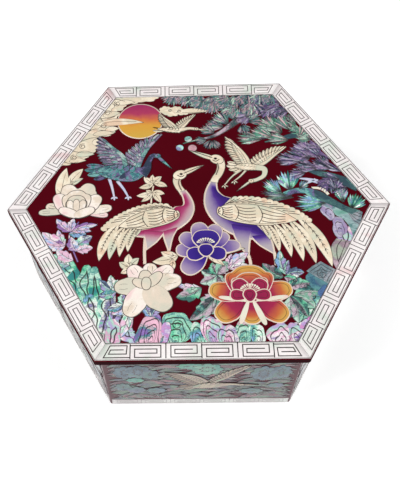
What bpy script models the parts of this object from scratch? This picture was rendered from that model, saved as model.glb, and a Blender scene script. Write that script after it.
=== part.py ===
# Hexagonal lacquered box with a lift-off lid, in metres, +Z up.
# The origin is the middle of the underside. Two flat sides face -Y and +Y, and two corners lie on X.
# The shell inlay is flush under the lacquer, so it is colour and has no solid of its own.

import math

import bmesh
import bpy

# Driving sizes
LID_ACROSS_FLATS = 0.200
LID_THICKNESS = 0.0055
LID_OVERHANG = 0.0045
BOX_HEIGHT = 0.076
WALL_THICKNESS = 0.008
BASE_THICKNESS = 0.006
RIM_DEPTH = 0.005
RIM_THICKNESS = 0.005
RIM_CLEARANCE = 0.0005
SEAT_GAP = 0.0003
LID_EDGE_ROUND = 0.0008
WALL_EDGE_ROUND = 0.0005
ROUND_SEGMENTS = 3

# Sizes that follow from them
WALL_ACROSS_FLATS = LID_ACROSS_FLATS - 2 * LID_OVERHANG
MOUTH_ACROSS_FLATS = WALL_ACROSS_FLATS - 2 * WALL_THICKNESS
REBATE_ACROSS_FLATS = MOUTH_ACROSS_FLATS + WALL_THICKNESS
BASE_ACROSS_FLATS = REBATE_ACROSS_FLATS - 2 * SEAT_GAP
RIM_ACROSS_FLATS = MOUTH_ACROSS_FLATS - 2 * RIM_CLEARANCE
LID_UNDERSIDE = BOX_HEIGHT - LID_THICKNESS
MOUTH_HEIGHT = LID_UNDERSIDE - SEAT_GAP
REBATE_HEIGHT = BASE_THICKNESS + SEAT_GAP
RIM_TOP = LID_UNDERSIDE - SEAT_GAP

SIDES = 6


def clear_scene():
    for old in list(bpy.data.objects):
        bpy.data.objects.remove(old, do_unlink=True)


def lacquer(name, colour, roughness):
    """A lacquer film: its linear colour and how dull it is."""
    material = bpy.data.materials.new(name)
    material.use_nodes = True
    shader = material.node_tree.nodes["Principled BSDF"]
    shader.inputs["Base Color"].default_value = (*colour, 1.0)
    shader.inputs["Roughness"].default_value = roughness
    shader.inputs["Metallic"].default_value = 0.0
    return material


def hexagon(across_flats, height):
    """The six corners at one height, the first on +X."""
    radius = across_flats / math.sqrt(3)
    turns = [math.tau * side / SIDES for side in range(SIDES)]
    return [(radius * math.cos(t), radius * math.sin(t), height) for t in turns]


def finish_piece(name, mesh_builder, material, edge_round, board_thickness):
    """Turns a bmesh into a named object whose edges are softened by the lacquer."""
    bmesh.ops.recalc_face_normals(mesh_builder, faces=mesh_builder.faces)
    mesh = bpy.data.meshes.new(name)
    mesh_builder.to_mesh(mesh)
    mesh_builder.free()
    mesh.materials.append(material)
    piece = bpy.data.objects.new(name, mesh)
    bpy.context.scene.collection.objects.link(piece)
    soften = piece.modifiers.new("softened edges", "BEVEL")
    soften.width = min(edge_round, board_thickness / 4)
    soften.segments = ROUND_SEGMENTS
    soften.limit_method = "ANGLE"
    soften.angle_limit = math.radians(30)
    return piece


def hexagonal_board(name, across_flats, bottom, top, material, edge_round):
    """A flat six-sided board between two heights."""
    board = bmesh.new()
    outline = [board.verts.new(corner) for corner in hexagon(across_flats, bottom)]
    face = board.faces.new(outline)
    raised = bmesh.ops.extrude_face_region(board, geom=[face])
    upper = [item for item in raised["geom"] if isinstance(item, bmesh.types.BMVert)]
    bmesh.ops.translate(board, verts=upper, vec=(0, 0, top - bottom))
    return finish_piece(name, board, material, edge_round, top - bottom)


def mitred_ring(name, section, material, edge_round, board_thickness):
    """Six boards of one section, mitred and glued. The section is a loop of (across flats, height)."""
    ring = bmesh.new()
    loops = [[ring.verts.new(corner) for corner in hexagon(*point)] for point in section]
    for inner, outer in zip(loops, loops[1:] + loops[:1]):
        for side in range(SIDES):
            after = (side + 1) % SIDES
            ring.faces.new((inner[side], inner[after], outer[after], outer[side]))
    return finish_piece(name, ring, material, edge_round, board_thickness)


def build_body_walls(material):
    """The six side boards, rebated below for the base board."""
    section = [
        (WALL_ACROSS_FLATS, 0.0),
        (WALL_ACROSS_FLATS, MOUTH_HEIGHT),
        (MOUTH_ACROSS_FLATS, MOUTH_HEIGHT),
        (MOUTH_ACROSS_FLATS, REBATE_HEIGHT),
        (REBATE_ACROSS_FLATS, REBATE_HEIGHT),
        (REBATE_ACROSS_FLATS, 0.0),
    ]
    return mitred_ring("body_walls", section, material, WALL_EDGE_ROUND, WALL_THICKNESS)


def build_base_board(material):
    """The bottom board, let into the walls' rebate and flush with their feet."""
    return hexagonal_board("base_board", BASE_ACROSS_FLATS, 0.0, BASE_THICKNESS, material, WALL_EDGE_ROUND)


def build_lid(material):
    """The lid board, which overhangs the walls all round."""
    return hexagonal_board("lid", LID_ACROSS_FLATS, LID_UNDERSIDE, BOX_HEIGHT, material, LID_EDGE_ROUND)


def build_lid_rim(material):
    """The low rim under the lid, which drops into the mouth and keeps the lid in place."""
    inner = RIM_ACROSS_FLATS - 2 * RIM_THICKNESS
    bottom = RIM_TOP - RIM_DEPTH
    section = [(RIM_ACROSS_FLATS, bottom), (RIM_ACROSS_FLATS, RIM_TOP), (inner, RIM_TOP), (inner, bottom)]
    return mitred_ring("lid_rim", section, material, WALL_EDGE_ROUND, RIM_THICKNESS)


def main():
    clear_scene()
    dark_red = lacquer("dark_red_lacquer", (0.095, 0.004, 0.012), 0.12)
    inside_red = lacquer("inside_lacquer", (0.06, 0.004, 0.009), 0.3)
    build_body_walls(dark_red)
    build_base_board(inside_red)
    build_lid(dark_red)
    build_lid_rim(inside_red)


main()
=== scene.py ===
import math

import bpy
import numpy as np
from mathutils import Matrix, Vector


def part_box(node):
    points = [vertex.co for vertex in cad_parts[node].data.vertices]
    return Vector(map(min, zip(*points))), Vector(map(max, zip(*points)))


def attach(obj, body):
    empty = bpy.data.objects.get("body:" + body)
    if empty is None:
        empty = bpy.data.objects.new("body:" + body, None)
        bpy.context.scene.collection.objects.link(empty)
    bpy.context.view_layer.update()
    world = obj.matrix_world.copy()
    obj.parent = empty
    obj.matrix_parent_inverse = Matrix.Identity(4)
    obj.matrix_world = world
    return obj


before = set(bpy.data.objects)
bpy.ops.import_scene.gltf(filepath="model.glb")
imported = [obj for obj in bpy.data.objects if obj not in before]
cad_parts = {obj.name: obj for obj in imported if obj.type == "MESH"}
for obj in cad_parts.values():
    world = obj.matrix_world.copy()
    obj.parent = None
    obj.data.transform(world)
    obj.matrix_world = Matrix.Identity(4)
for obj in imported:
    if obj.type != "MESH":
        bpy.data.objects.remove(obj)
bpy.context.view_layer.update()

# Everything on the box is drawn in millimetres on a plane (the lid's top, or one side),
# and each cut piece of shell is a thin closed solid that lies on that plane.

mm = 0.001
lidLow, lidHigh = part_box("lid")
wallLow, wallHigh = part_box("body_walls")
lidFlats = (lidHigh[1] - lidLow[1]) / mm
wallFlats = (wallHigh[1] - wallLow[1]) / mm
wallTop = wallHigh[2] / mm

inlay = {
    "thickness": 0.13,  # how far a piece stands on the lacquer
    "bedding": 0.05,  # how far it goes under the surface
    "step": 0.014,  # each overlapping layer lies this much higher
    "seed": 11,
}


# Planes

def drawingPlane(origin, right, up):
    right, up = np.array(right, float), np.array(up, float)
    return {"origin": np.array(origin, float), "right": right, "up": up, "out": np.cross(right, up)}


def sidePlane(side):
    # side 0 faces -Y, and the others follow anticlockwise; x runs along the side and y up from the foot
    turn = math.radians(60 * side - 90)
    out = np.array([math.cos(turn), math.sin(turn), 0.0])
    return drawingPlane(out * wallFlats / 2 * mm, (-out[1], out[0], 0), (0, 0, 1))


lidPlane = drawingPlane((0, 0, lidHigh[2]), (1, 0, 0), (0, 1, 0))
fieldPlane = dict(lidPlane, edge=89.5)  # the picture stops where the band begins
sidePlanes = [sidePlane(side) for side in range(6)]


# Curves and grids

def curve(points, count=24):
    # a Catmull-Rom curve through the points, evenly spaced in its parameter
    p = np.array(points, float)
    p = np.vstack([2 * p[0] - p[1], p, 2 * p[-1] - p[-2]])
    t = np.linspace(0, len(points) - 1, count)
    i = np.minimum(t.astype(int), len(points) - 2)
    u = (t - i)[:, None]
    a, b, c, d = p[i], p[i + 1], p[i + 2], p[i + 3]
    return 0.5 * (2 * b + (c - a) * u + (2 * a - 5 * b + 4 * c - d) * u**2 + (3 * b - a - 3 * c + d) * u**3)


def turned(points, degrees):
    # points turned anticlockwise about the origin
    t = math.radians(degrees)
    turn = np.array([[math.cos(t), math.sin(t)], [-math.sin(t), math.cos(t)]])
    return np.array(points, float) @ turn


def arc(centre, radius, start, stop, count):
    # points on a circle between two angles in degrees; the radius may change along it
    turn = np.radians(np.linspace(start, stop, count))
    return np.array(centre) + np.stack([np.cos(turn), np.sin(turn)], -1) * np.reshape(radius, (-1, 1))


def apothem(points):
    # the apothem of the centred hexagon that each point lies on
    turns = np.radians(np.arange(6) * 60 + 30)
    return (points @ np.stack([np.cos(turns), np.sin(turns)])).max(axis=-1)


def pointsAt(path, share):
    # points of a smooth curve at shares of the way along it
    dense, place = curve(path, 81), np.linspace(0, 1, 81)
    return np.stack([np.interp(share, place, dense[:, axis]) for axis in (0, 1)], -1)


def sideways(paths):
    # the left-hand direction at each point, mitred: twice the sum of both normals over its squared length
    steps = np.diff(paths, axis=-2)
    steps = steps / np.linalg.norm(steps, axis=-1, keepdims=True)
    left = np.stack([-steps[..., 1], steps[..., 0]], -1)
    before = np.concatenate([left[..., :1, :], left], -2)
    after = np.concatenate([left, left[..., -1:, :]], -2)
    both = before + after
    return 2 * both / np.maximum(np.sum(both * both, -1, keepdims=True), 0.5)


# sections of a cut piece: shares of its half width sideways and of its thickness upwards
archAcross = np.array([-1, 1, 1, 0.8, 0.3, 0, -0.3, -0.8, -1])
archUp = np.array([0, 0, 0.6, 0.95, 1, 1, 1, 0.95, 0.6])
ridgeAcross = np.array([-1, 1, 0.35, -0.35])
ridgeUp = np.array([0, 0, 1, 1])
nestedRings = (0.97, 0.8, 0.6, 0.4, 0.2, 0.04)  # shares of an outline, for pieces with contours


def blades(paths, halves, fine=False, thick=1.0):
    # a low arched section carried along each path: its half width sideways times across, its height times up
    paths = np.array(paths, float)
    if paths.ndim == 2:
        paths = paths[None]
    across, up = (ridgeAcross, ridgeUp) if fine else (archAcross, archUp)
    halves = np.broadcast_to(np.array(halves, float), paths.shape[:2])
    reach = halves[..., None] * across
    flat = paths[:, :, None, :] + sideways(paths)[:, :, None, :] * reach[..., None]
    high = np.where(up > 0, up * inlay["thickness"] * thick, -inlay["bedding"])
    high = np.broadcast_to(high, flat.shape[:3])
    along = np.broadcast_to(np.linspace(0, 1, paths.shape[1])[:, None], flat.shape[1:3])
    return {
        "rings": np.concatenate([flat, high[..., None]], -1),
        "along": np.broadcast_to(along, flat.shape[:3]),
        "across": np.broadcast_to(across, flat.shape[:3]),
        "rim": halves[..., None] * (1 - np.abs(across)),
    }


def hairline(paths, half):
    # a low ridge of even half width, for an engraved line
    return blades(paths, half, True, 0.4)


def between(first, second):
    # a blade drawn between two edge curves: the point midway, plus across times half the way between them
    first, second = np.array(first, float), np.array(second, float)
    middle, half = (first + second) / 2, (first - second) / 2
    run = np.gradient(middle, axis=0)
    if np.sum(run[:, 0] * half[:, 1] - run[:, 1] * half[:, 0]) < 0:
        half = -half
    flat = (middle[:, None] + half[:, None] * archAcross[:, None])[None]
    high = np.where(archUp > 0, archUp * inlay["thickness"], -inlay["bedding"])
    high = np.broadcast_to(high, flat.shape[:3])
    across = np.broadcast_to(archAcross, flat.shape[:3])
    along = np.broadcast_to(np.linspace(0, 1, len(first))[:, None], flat.shape[1:3])[None]
    rim = np.linalg.norm(half, axis=-1)[:, None] * (1 - np.abs(across))
    return {"rings": np.concatenate([flat, high[..., None]], -1), "along": along, "across": across,
            "rim": rim}


def leaves(bases, tips, halves, bend=0.0, belly=0.5, rings=9, fine=False, teeth=0, full=0.8):
    # a blade from base to tip on a parabola that bows by bend; its half width follows sin(pi u^q)^full,
    # widest at belly, and teeth are saw teeth along both edges that point towards the tip
    bases, tips = np.atleast_2d(np.array(bases, float)), np.atleast_2d(np.array(tips, float))
    u = np.linspace(0, 1, rings)
    run = tips - bases
    bow = np.stack([-run[:, 1], run[:, 0]], -1) * np.reshape(bend, (-1, 1))
    paths = bases[:, None] + run[:, None] * u[:, None] + bow[:, None] * (4 * u * (1 - u))[:, None]
    shape = np.sin(math.pi * u ** (math.log(0.5) / math.log(belly))) ** full
    shape = shape * (1 + 0.34 * ((u * teeth) % 1 - 0.5) * (teeth > 0))
    widths = np.reshape(halves, (-1, 1)) * np.maximum(shape, 0.04)
    return blades(paths, np.broadcast_to(widths, paths.shape[:2]), fine)


def tongues(roots, turns, lengths, halves, sway):
    # a rounded tongue on a spine that sways as sin(6 u) and less as sin(14 u): half width follows the root
    # of 1 - 0.9 u^6 and swells as sin(9 u) and sin(17 u)
    roots = np.atleast_2d(np.array(roots, float))
    u, t = np.linspace(0, 1, 24), np.radians(np.reshape(turns, (-1, 1)))
    far = np.reshape(lengths, (-1, 1)) * u
    sway = np.reshape(sway, (-1, 1))
    side = sway * (np.sin(6 * u + 9 * sway) + 0.3 * np.sin(14 * u + 5 * sway))
    paths = roots[:, None] + np.stack([far * np.cos(t) - side * np.sin(t),
                                       far * np.sin(t) + side * np.cos(t)], -1)
    widths = np.reshape(halves, (-1, 1)) * np.sqrt(1 - 0.9 * u**6)
    widths = widths * (1 + 0.14 * np.sin(9 * u + 7 * sway) + 0.09 * np.sin(17 * u + 3 * sway))
    return blades(paths, widths)


def discs(outlines, centres, rings=(1.0, 0.93, 0.6, 0.3, 0.04)):
    # each outline shrunk towards its centre in rings, from its foot up over the rim to the middle
    outlines = np.array(outlines, float)
    centres = np.array(centres, float).reshape(-1, 1, 1, 2)
    share = np.array((1.0,) + tuple(rings))[:, None, None]
    flat = centres + (outlines[:, None] - centres) * share
    high = np.array([-inlay["bedding"], 0.6 * inlay["thickness"]] + [inlay["thickness"]] * (len(rings) - 1))
    high = np.broadcast_to(high[:, None], flat.shape[:3])
    size = np.linalg.norm(outlines - centres[:, 0], axis=-1)
    return {
        "rings": np.concatenate([flat, high[..., None]], -1),
        "along": np.broadcast_to(share[..., 0], flat.shape[:3]),
        "across": np.zeros(flat.shape[:3]),
        "rim": size[:, None, :] * (1 - share[..., 0]),
    }


def lobedDiscs(centres, wide, high, lobes=0, depth=0.0, turn=0.0, around=48):
    # an ellipse whose radius swells as 1 + depth (|cos(lobes angle / 2)| - 0.6), turned by an angle
    centres = np.atleast_2d(np.array(centres, float))
    angle = np.linspace(0, 2 * math.pi, around, endpoint=False)
    swell = 1 + depth * (np.abs(np.cos(lobes * angle / 2)) - 0.6)
    x = np.reshape(wide, (-1, 1)) * np.cos(angle) * swell
    y = np.reshape(high, (-1, 1)) * np.sin(angle) * swell
    t = np.radians(np.reshape(turn, (-1, 1)))
    outline = np.stack([x * np.cos(t) - y * np.sin(t), x * np.sin(t) + y * np.cos(t)], -1)
    return discs(centres[:, None] + outline, centres)


def pebbles(centres, wide, high, phase, turn=0.0):
    # an ellipse whose radius wobbles as four sines of the angle, with rings that shrink towards its foot
    centres, phase = np.atleast_2d(np.array(centres, float)), np.reshape(phase, (-1, 1))
    angle = np.linspace(0, 2 * math.pi, 40, endpoint=False)
    wobble = 1 + 0.12 * np.sin(2 * angle + phase) + 0.1 * np.sin(3 * angle + 2 * phase)
    wobble = wobble + 0.06 * np.sin(5 * angle + 3 * phase) + 0.03 * np.sin(8 * angle + phase)
    x = np.reshape(wide, (-1, 1)) * np.cos(angle) * wobble
    y = np.reshape(high, (-1, 1)) * np.sin(angle) * wobble
    low = -0.8 * np.stack([np.zeros(len(centres)), np.array(high, float)], -1)
    outline, low = turned(np.stack([x, y], -1), turn), turned(low, turn)
    return discs(centres[:, None] + outline, centres + low, nestedRings)


def facets(corners, centre):
    # a straight-sided outline, four points to a side, whose rings shrink towards the centre
    corners = np.array(corners, float)
    share = np.arange(4)[:, None, None] / 4
    outline = (corners + (np.roll(corners, -1, axis=0) - corners) * share).swapaxes(0, 1).reshape(1, -1, 2)
    return discs(outline, [centre], nestedRings)


def petals(roots, turns, lengths, widths, scallops, shoulder):
    # along is (1 - cos t) / 2, across is sin t^0.8 times (shoulder + (1 - shoulder) along)^0.7,
    # and both swell towards the tip as 1 + 0.13 along^2 (|cos(scallops t / 2)| - 0.5)
    roots = np.atleast_2d(np.array(roots, float))
    t = np.linspace(0, 2 * math.pi, 48, endpoint=False)
    along = (1 - np.cos(t)) / 2
    swell = 1 + 0.13 * along**2 * (np.abs(np.cos(scallops * (t - math.pi) / 2)) - 0.5)
    lengths, widths = np.reshape(lengths, (-1, 1)), np.reshape(widths, (-1, 1))
    far = lengths * along * swell
    broad = widths * np.sign(np.sin(t)) * np.abs(np.sin(t)) ** 0.8
    broad = broad * (shoulder + (1 - shoulder) * along) ** 0.7 * swell
    a = np.radians(np.reshape(turns, (-1, 1)))
    outline = np.stack([far * np.cos(a) + broad * np.sin(a), far * np.sin(a) - broad * np.cos(a)], -1)
    heading = np.stack([np.cos(a), np.sin(a)], -1)
    middles = roots[:, None] + heading * lengths[..., None] * 0.55
    shape = discs(roots[:, None] + outline, middles)
    reach = np.sum((shape["rings"][..., :2] - roots[:, None, None]) * heading[:, None], -1)
    shape["along"] = reach / lengths[..., None]
    return shape


# Pieces

made = []


class Piece:
    # gathers closed parts on a plane, then makes them one named mesh that rides on the box
    def __init__(self, name, plane, finish, slot, layer=0):
        self.name, self.plane, self.finish, self.slot, self.layer = name, plane, finish, slot, layer
        self.draws = np.random.default_rng(inlay["seed"] + len(made))
        self.points, self.loops, self.sizes, self.count = [], [], [], 0
        self.fields = {"tone": [], "rim": [], "cut": []}
        made.append(name)

    def add(self, shape, tone="along", layer=0, spread=0, halved=0.0):
        # layer lifts the shape, spread lifts each part above the last,
        # and halved shifts the colour of each part's left half
        rings = np.array(shape["rings"])
        parts, tall, around = rings.shape[:3]
        lift = np.arange(parts) * spread + layer + self.layer
        rings[..., 2] += np.where(rings[..., 2] > 0, (lift * inlay["step"])[:, None, None], 0)
        ids = self.count + np.arange(parts * tall * around).reshape(parts, tall, around)
        after = np.roll(ids, -1, axis=2)
        quads = np.stack([ids[:, :-1], after[:, :-1], after[:, 1:], ids[:, 1:]], -1).reshape(-1, 4)
        caps = np.concatenate([ids[:, 0, ::-1], ids[:, -1]])
        self.loops += [quads.ravel(), caps.ravel()]
        self.sizes += [np.full(len(quads), 4), np.full(len(caps), around)]
        self.points.append(rings.reshape(-1, 3))
        self.count += ids.size
        value = shape[tone] if isinstance(tone, str) else tone
        self.fields["tone"].append(np.broadcast_to(value, rings.shape[:3]).ravel())
        self.fields["rim"].append(np.broadcast_to(shape["rim"], rings.shape[:3]).ravel())
        cut = (self.draws.random(parts) * 0.85 + self.draws.random(parts) * 0.15)[:, None, None]
        if halved:
            cut = (cut + halved * (shape["across"] > 0)) % 1.0
        self.fields["cut"].append(np.broadcast_to(cut, rings.shape[:3]).ravel())
        return self

    def trimmed(self, points):
        # points past the edge of the picture are drawn back onto it
        edge = self.plane.get("edge")
        if edge is None:
            return points
        shrink = np.minimum(1, edge / np.maximum(apothem(points[:, :2]), 1))
        return np.concatenate([points[:, :2] * shrink[:, None], points[:, 2:]], 1)

    def build(self):
        plane = self.plane
        local = self.trimmed(np.concatenate(self.points)) * mm
        axes = np.stack([plane["right"], plane["up"], plane["out"]])
        world = plane["origin"] + local @ axes
        loops, sizes = np.concatenate(self.loops), np.concatenate(self.sizes)
        mesh = bpy.data.meshes.new(self.name)
        mesh.vertices.add(len(world))
        mesh.vertices.foreach_set("co", world.ravel())
        mesh.loops.add(len(loops))
        mesh.loops.foreach_set("vertex_index", loops.astype(np.int32))
        mesh.polygons.add(len(sizes))
        mesh.polygons.foreach_set("loop_start", (np.cumsum(sizes) - sizes).astype(np.int32))
        mesh.update(calc_edges=True)
        for field, values in self.fields.items():
            store = mesh.attributes.new(field, "FLOAT", "POINT")
            store.data.foreach_set("value", np.concatenate(values).astype(np.float32))
        mesh.materials.append(finishes[self.finish])
        piece = bpy.data.objects.new(self.name, mesh)
        bpy.context.scene.collection.objects.link(piece)
        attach(piece, "root")
        return piece


# Shader maths

class Value:
    # a socket whose operators add Math nodes
    def __init__(self, finish, socket):
        self.finish, self.socket = finish, socket

    def maths(self, operation, *values, clamp=False):
        sockets = dict(enumerate(values))
        return self.finish.add("ShaderNodeMath", {"operation": operation, "use_clamp": clamp}, sockets)

    def __add__(self, other):
        return self.maths("ADD", self, other)

    def __sub__(self, other):
        return self.maths("SUBTRACT", self, other)

    def __rsub__(self, other):
        return self.maths("SUBTRACT", other, self)

    def __mul__(self, other):
        return self.maths("MULTIPLY", self, other)

    __radd__ = __add__

    def clamp(self):
        return self.maths("ADD", self, 0.0, clamp=True)

    def below(self, limit, soft):
        # 1 under the limit, 0 over it, with a soft edge
        return self.maths("DIVIDE", limit - self, soft, clamp=True)


class Finish:
    # one procedural material; add makes any node
    def __init__(self, name, colour, roughness, coat=0.0):
        self.material = bpy.data.materials.new(name)
        self.material.use_nodes = True
        self.tree = self.material.node_tree
        self.shader = self.tree.nodes["Principled BSDF"]
        self.material.diffuse_color = (*colour, 1.0)
        self.put(self.shader, {
            "Base Color": (*colour, 1.0),
            "Roughness": roughness,
            "Coat Weight": coat,
            "Coat Roughness": 0.05,
            "Specular IOR Level": 0.2,
        })

    def put(self, node, sockets):
        for key, value in sockets.items():
            if isinstance(value, Value):
                self.tree.links.new(value.socket, node.inputs[key])
            else:
                node.inputs[key].default_value = value

    def add(self, kind, settings, sockets, out=0):
        node = self.tree.nodes.new(kind)
        for key, value in settings.items():
            if key == "stops":
                ramp = node.color_ramp
                while len(ramp.elements) < len(value):
                    ramp.elements.new(0.5)
                for element, (place, colour) in zip(ramp.elements, value):
                    element.position, element.color = place, (*colour, 1.0)
            else:
                setattr(node, key, value)
        self.put(node, sockets)
        return Value(self, node.outputs[out])

    def attribute(self, name):
        return self.add("ShaderNodeAttribute", {"attribute_name": name}, {}, "Fac")

    def place(self, scale=(1, 1, 1)):
        spot = self.add("ShaderNodeTexCoord", {}, {}, "Object")
        return self.add("ShaderNodeMapping", {}, {"Vector": spot, "Scale": scale})

    def noise(self, where, scale, detail=3.0, drift=0.0, warp=0.0):
        sockets = {"Vector": where, "W": drift, "Scale": scale, "Detail": detail, "Distortion": warp}
        return self.add("ShaderNodeTexNoise", {"noise_dimensions": "4D"}, sockets)

    def mix(self, factor, first, second, blend="MIX"):
        settings = {"data_type": "RGBA", "blend_type": blend}
        return self.add("ShaderNodeMix", settings, {0: factor, 6: first, 7: second}, 2)

    def ramp(self, factor, stops):
        return self.add("ShaderNodeValToRGB", {"stops": stops}, {"Fac": factor})

    def bump(self, height, strength, distance):
        sockets = {"Height": height, "Strength": strength, "Distance": distance}
        self.put(self.shader, {"Normal": self.add("ShaderNodeBump", {}, sockets)})


def srgb(red, green, blue):
    # a screen colour, 0 to 255, as the linear numbers that shaders use
    shares = [level / 255 for level in (red, green, blue)]
    return tuple(s / 12.92 if s < 0.0431 else ((s + 0.055) / 1.055) ** 2.4 for s in shares)


colours = {
    "lacquer": srgb(92, 8, 22),
    "lacquerDeep": srgb(66, 4, 14),
    # near black, for painted shade on narrow faces
    "paintedEdgeShade": srgb(40, 2, 10),
    "ink": srgb(42, 30, 32),
    "sideInk": srgb(44, 24, 36),
    "cream": srgb(227, 210, 184),
    "creamWarm": srgb(230, 200, 172),
    "creamCool": srgb(208, 212, 190),
    "paleLine": srgb(226, 208, 190),
    "bandWhite": srgb(238, 229, 229),
    "bandPink": srgb(232, 206, 206),
    "bandGreen": srgb(214, 222, 212),
}


shell = {
    "striae": 6.0,  # how much finer the striae are than the drift of colour
    "stretch": (1.0, 2.8, 1.6),
    "fine": 0.45,  # how far the striae shift the colour along the ramp
    "striaeLight": 1.6,
    "cloud": 1.7,  # scale of the slow light and dark, against the drift's
    "cloudLight": 1.4,
    "inkStrength": 0.9,
    "inkSoft": 0.2,
    "dulling": 0.15,
    "bump": (0.12, 0.0002),
}


def shellFinish(name, stops, grain=80.0, ink=0.42, gloss=0.2, tint=0.4, vary=0.5, contour=0.0, bright=0.0,
                coat=0.25, swing=2.6, line=colours["ink"]):
    # colour drifts over a ramp, and each cut part is shifted along it by tint and lit by bright; fine striae
    # cross it, and an ink line follows the part's rim, with nested ones twice a contour apart
    f = Finish(name, stops[len(stops) // 2][1], gloss, coat)
    cut, rim = f.attribute("cut"), f.attribute("rim")
    drift = f.noise(f.place(), grain, 3.0, cut * 9.0, 0.9)
    striae = f.noise(f.place(shell["stretch"]), grain * shell["striae"], 2.0, cut * 5.0, 3.0)
    cloud = f.noise(f.place(), grain * shell["cloud"], 2.0, cut * 3.0)
    where = (drift - 0.5) * swing + (striae - 0.5) * shell["fine"] + (cut - 0.5) * tint + 0.5
    body = f.ramp(where.clamp(), stops)
    light = (striae - 0.5) * shell["striaeLight"] + (cloud - 0.5) * shell["cloudLight"]
    light = light * vary + 1.0 + (cut - 0.5) * bright
    body = f.mix(1.0, body, f.add("ShaderNodeCombineColor", {}, {0: light, 1: light, 2: light}), "MULTIPLY")
    if ink:
        ring = f.add("ShaderNodeMath", {"operation": "PINGPONG"}, {0: rim, 1: contour}) if contour else rim
        body = f.mix(ring.below(ink, shell["inkSoft"]) * shell["inkStrength"], body, (*line, 1.0))
    f.put(f.shader, {"Base Color": body, "Roughness": gloss + (striae - 0.5) * shell["dulling"]})
    f.bump(striae, *shell["bump"])
    return f.material


tinted = {
    "mottle": 260.0,
    "mottling": 0.16,
    "groove": (0.26, 0.2),  # half width and softness of the fine line inside the rim
    "grooveStrength": 0.75,
    "outlineSoft": 0.14,
    "gloss": 0.18,
    "dulling": 0.1,
    "bump": (0.08, 0.0002),
}


def paintFinish(name, stops, outline=0.75, groove=0.0):
    # tinted shell shaded from the root of a petal to its rim, with a pale line left bare round the edge
    # and, where there is a groove, a fine engraved line that far inside it
    f = Finish(name, stops[0][1], tinted["gloss"], 0.25)
    tone, rim, cut = f.attribute("tone"), f.attribute("rim"), f.attribute("cut")
    soft = f.noise(f.place(), tinted["mottle"], 2.0, cut * 7.0)
    body = f.ramp((tone + (soft - 0.5) * tinted["mottling"]).clamp(), stops)
    if groove:
        away = f.add("ShaderNodeMath", {"operation": "ABSOLUTE"}, {0: rim - groove})
        body = f.mix(away.below(*tinted["groove"]) * tinted["grooveStrength"], body, (*colours["ink"], 1.0))
    body = f.mix(rim.below(outline, tinted["outlineSoft"]), body, (*colours["paleLine"], 1.0))
    f.put(f.shader, {"Base Color": body, "Roughness": tinted["gloss"] + soft * tinted["dulling"]})
    f.bump(soft, *tinted["bump"])
    return f.material


film = {"cloud": 22.0, "speck": 900.0, "dulling": 0.06, "bump": (0.05, 0.0004), "edgeShadeSoft": 0.0003}


def lacquerFinish(name, light, deep, gloss, coat=0.05, edge=0.0):
    # a clear deep film: slow clouding of the colour and the faint waviness of rubbed lacquer;
    # below the height edge, on a board's narrow faces, painted shade makes it almost black
    f = Finish(name, light, gloss, coat)
    f.put(f.shader, {"Specular IOR Level": 0.0})
    cloud = f.noise(f.place(), film["cloud"], 3.0)
    speck = f.noise(f.place(), film["speck"], 2.0)
    body = f.mix(cloud.clamp(), (*deep, 1.0), (*light, 1.0))
    # painted shade: below the edge height the colour is near black
    if edge:
        height = f.add("ShaderNodeSeparateXYZ", {}, {"Vector": f.place()}, "Z")
        body = f.mix(height.below(edge, film["edgeShadeSoft"]), body, (*colours["paintedEdgeShade"], 1.0))
    f.put(f.shader, {"Base Color": body, "Roughness": gloss + speck * film["dulling"]})
    f.bump(cloud, *film["bump"])
    return f.material


engraved = {"gloss": 0.45, "speck": 500.0, "lighter": 1.4}


def inkFinish(name, colour):
    # dull ink in an engraved line, lighter in specks
    f = Finish(name, colour, engraved["gloss"])
    soft = f.noise(f.place(), engraved["speck"], 2.0)
    bright = [level * engraved["lighter"] for level in colour]
    f.put(f.shader, {"Base Color": f.mix(soft, (*colour, 1.0), (*bright, 1.0))})
    return f.material


dark, slate, teal = (42, 48, 62), (84, 98, 122), (56, 134, 132)
green, mint, paleBlue = (86, 186, 144), (172, 226, 200), (146, 180, 224)
purple, pink, rose = (126, 90, 164), (220, 142, 190), (232, 184, 204)
lilac, white, moss, taupe = (176, 152, 208), (242, 240, 236), (106, 132, 122), (138, 112, 122)


def bands(*shades):
    # screen colours at even places of a ramp
    return [(place, srgb(*shade)) for place, shade in zip(np.linspace(0, 1, len(shades)).tolist(), shades)]


blueViolet = bands(purple, pink, lilac, white, pink, lilac, purple, teal, rose)
blueDeep = bands(slate, paleBlue, teal, mint, white, slate, lilac, green, white)
pinkPale = bands(purple, pink, white, rose, lilac, mint, pink, white, purple)
greenPale = bands(teal, green, mint, teal, (204, 234, 216), green, rose, green, mint)
sprigTones = bands((146, 108, 166), white, pink, white, paleBlue, rose, (222, 186, 212), mint, white)
leafTones = bands(
    (64, 112, 104), green, (168, 208, 186), (66, 128, 124), (46, 64, 68), (126, 118, 126),
    (206, 178, 194), (90, 160, 132), (190, 216, 200))
barkTones = bands(
    (66, 108, 112), (92, 156, 146), (122, 134, 156), (78, 128, 126), (160, 184, 186),
    (100, 160, 142), (138, 132, 150))
slateTones = bands(
    (70, 84, 98), (112, 126, 138), (150, 160, 166), (96, 120, 128), (168, 170, 178), (120, 138, 140))
pineDark = bands(dark, slate, moss, teal, taupe, (184, 160, 164), slate, moss, (172, 194, 176))
pineViolet = bands(
    dark, (80, 84, 112), (114, 86, 142), (124, 106, 142), (168, 148, 176), dark, (92, 112, 126),
    (156, 150, 168))

# settings that several finishes share
cutShell = dict(grain=60.0, ink=0.5, tint=1.1, vary=0.35, swing=2.0)
stone = dict(grain=62.0, ink=0.5, tint=0.8, vary=0.35, contour=1.8, swing=2.2)
needle = dict(ink=0.22, tint=0.9, bright=0.9)
sideCut = dict(grain=60.0, ink=0.8, line=colours["sideInk"])
sideCloud = dict(sideCut, ink=0.6, contour=2.6)

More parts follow.
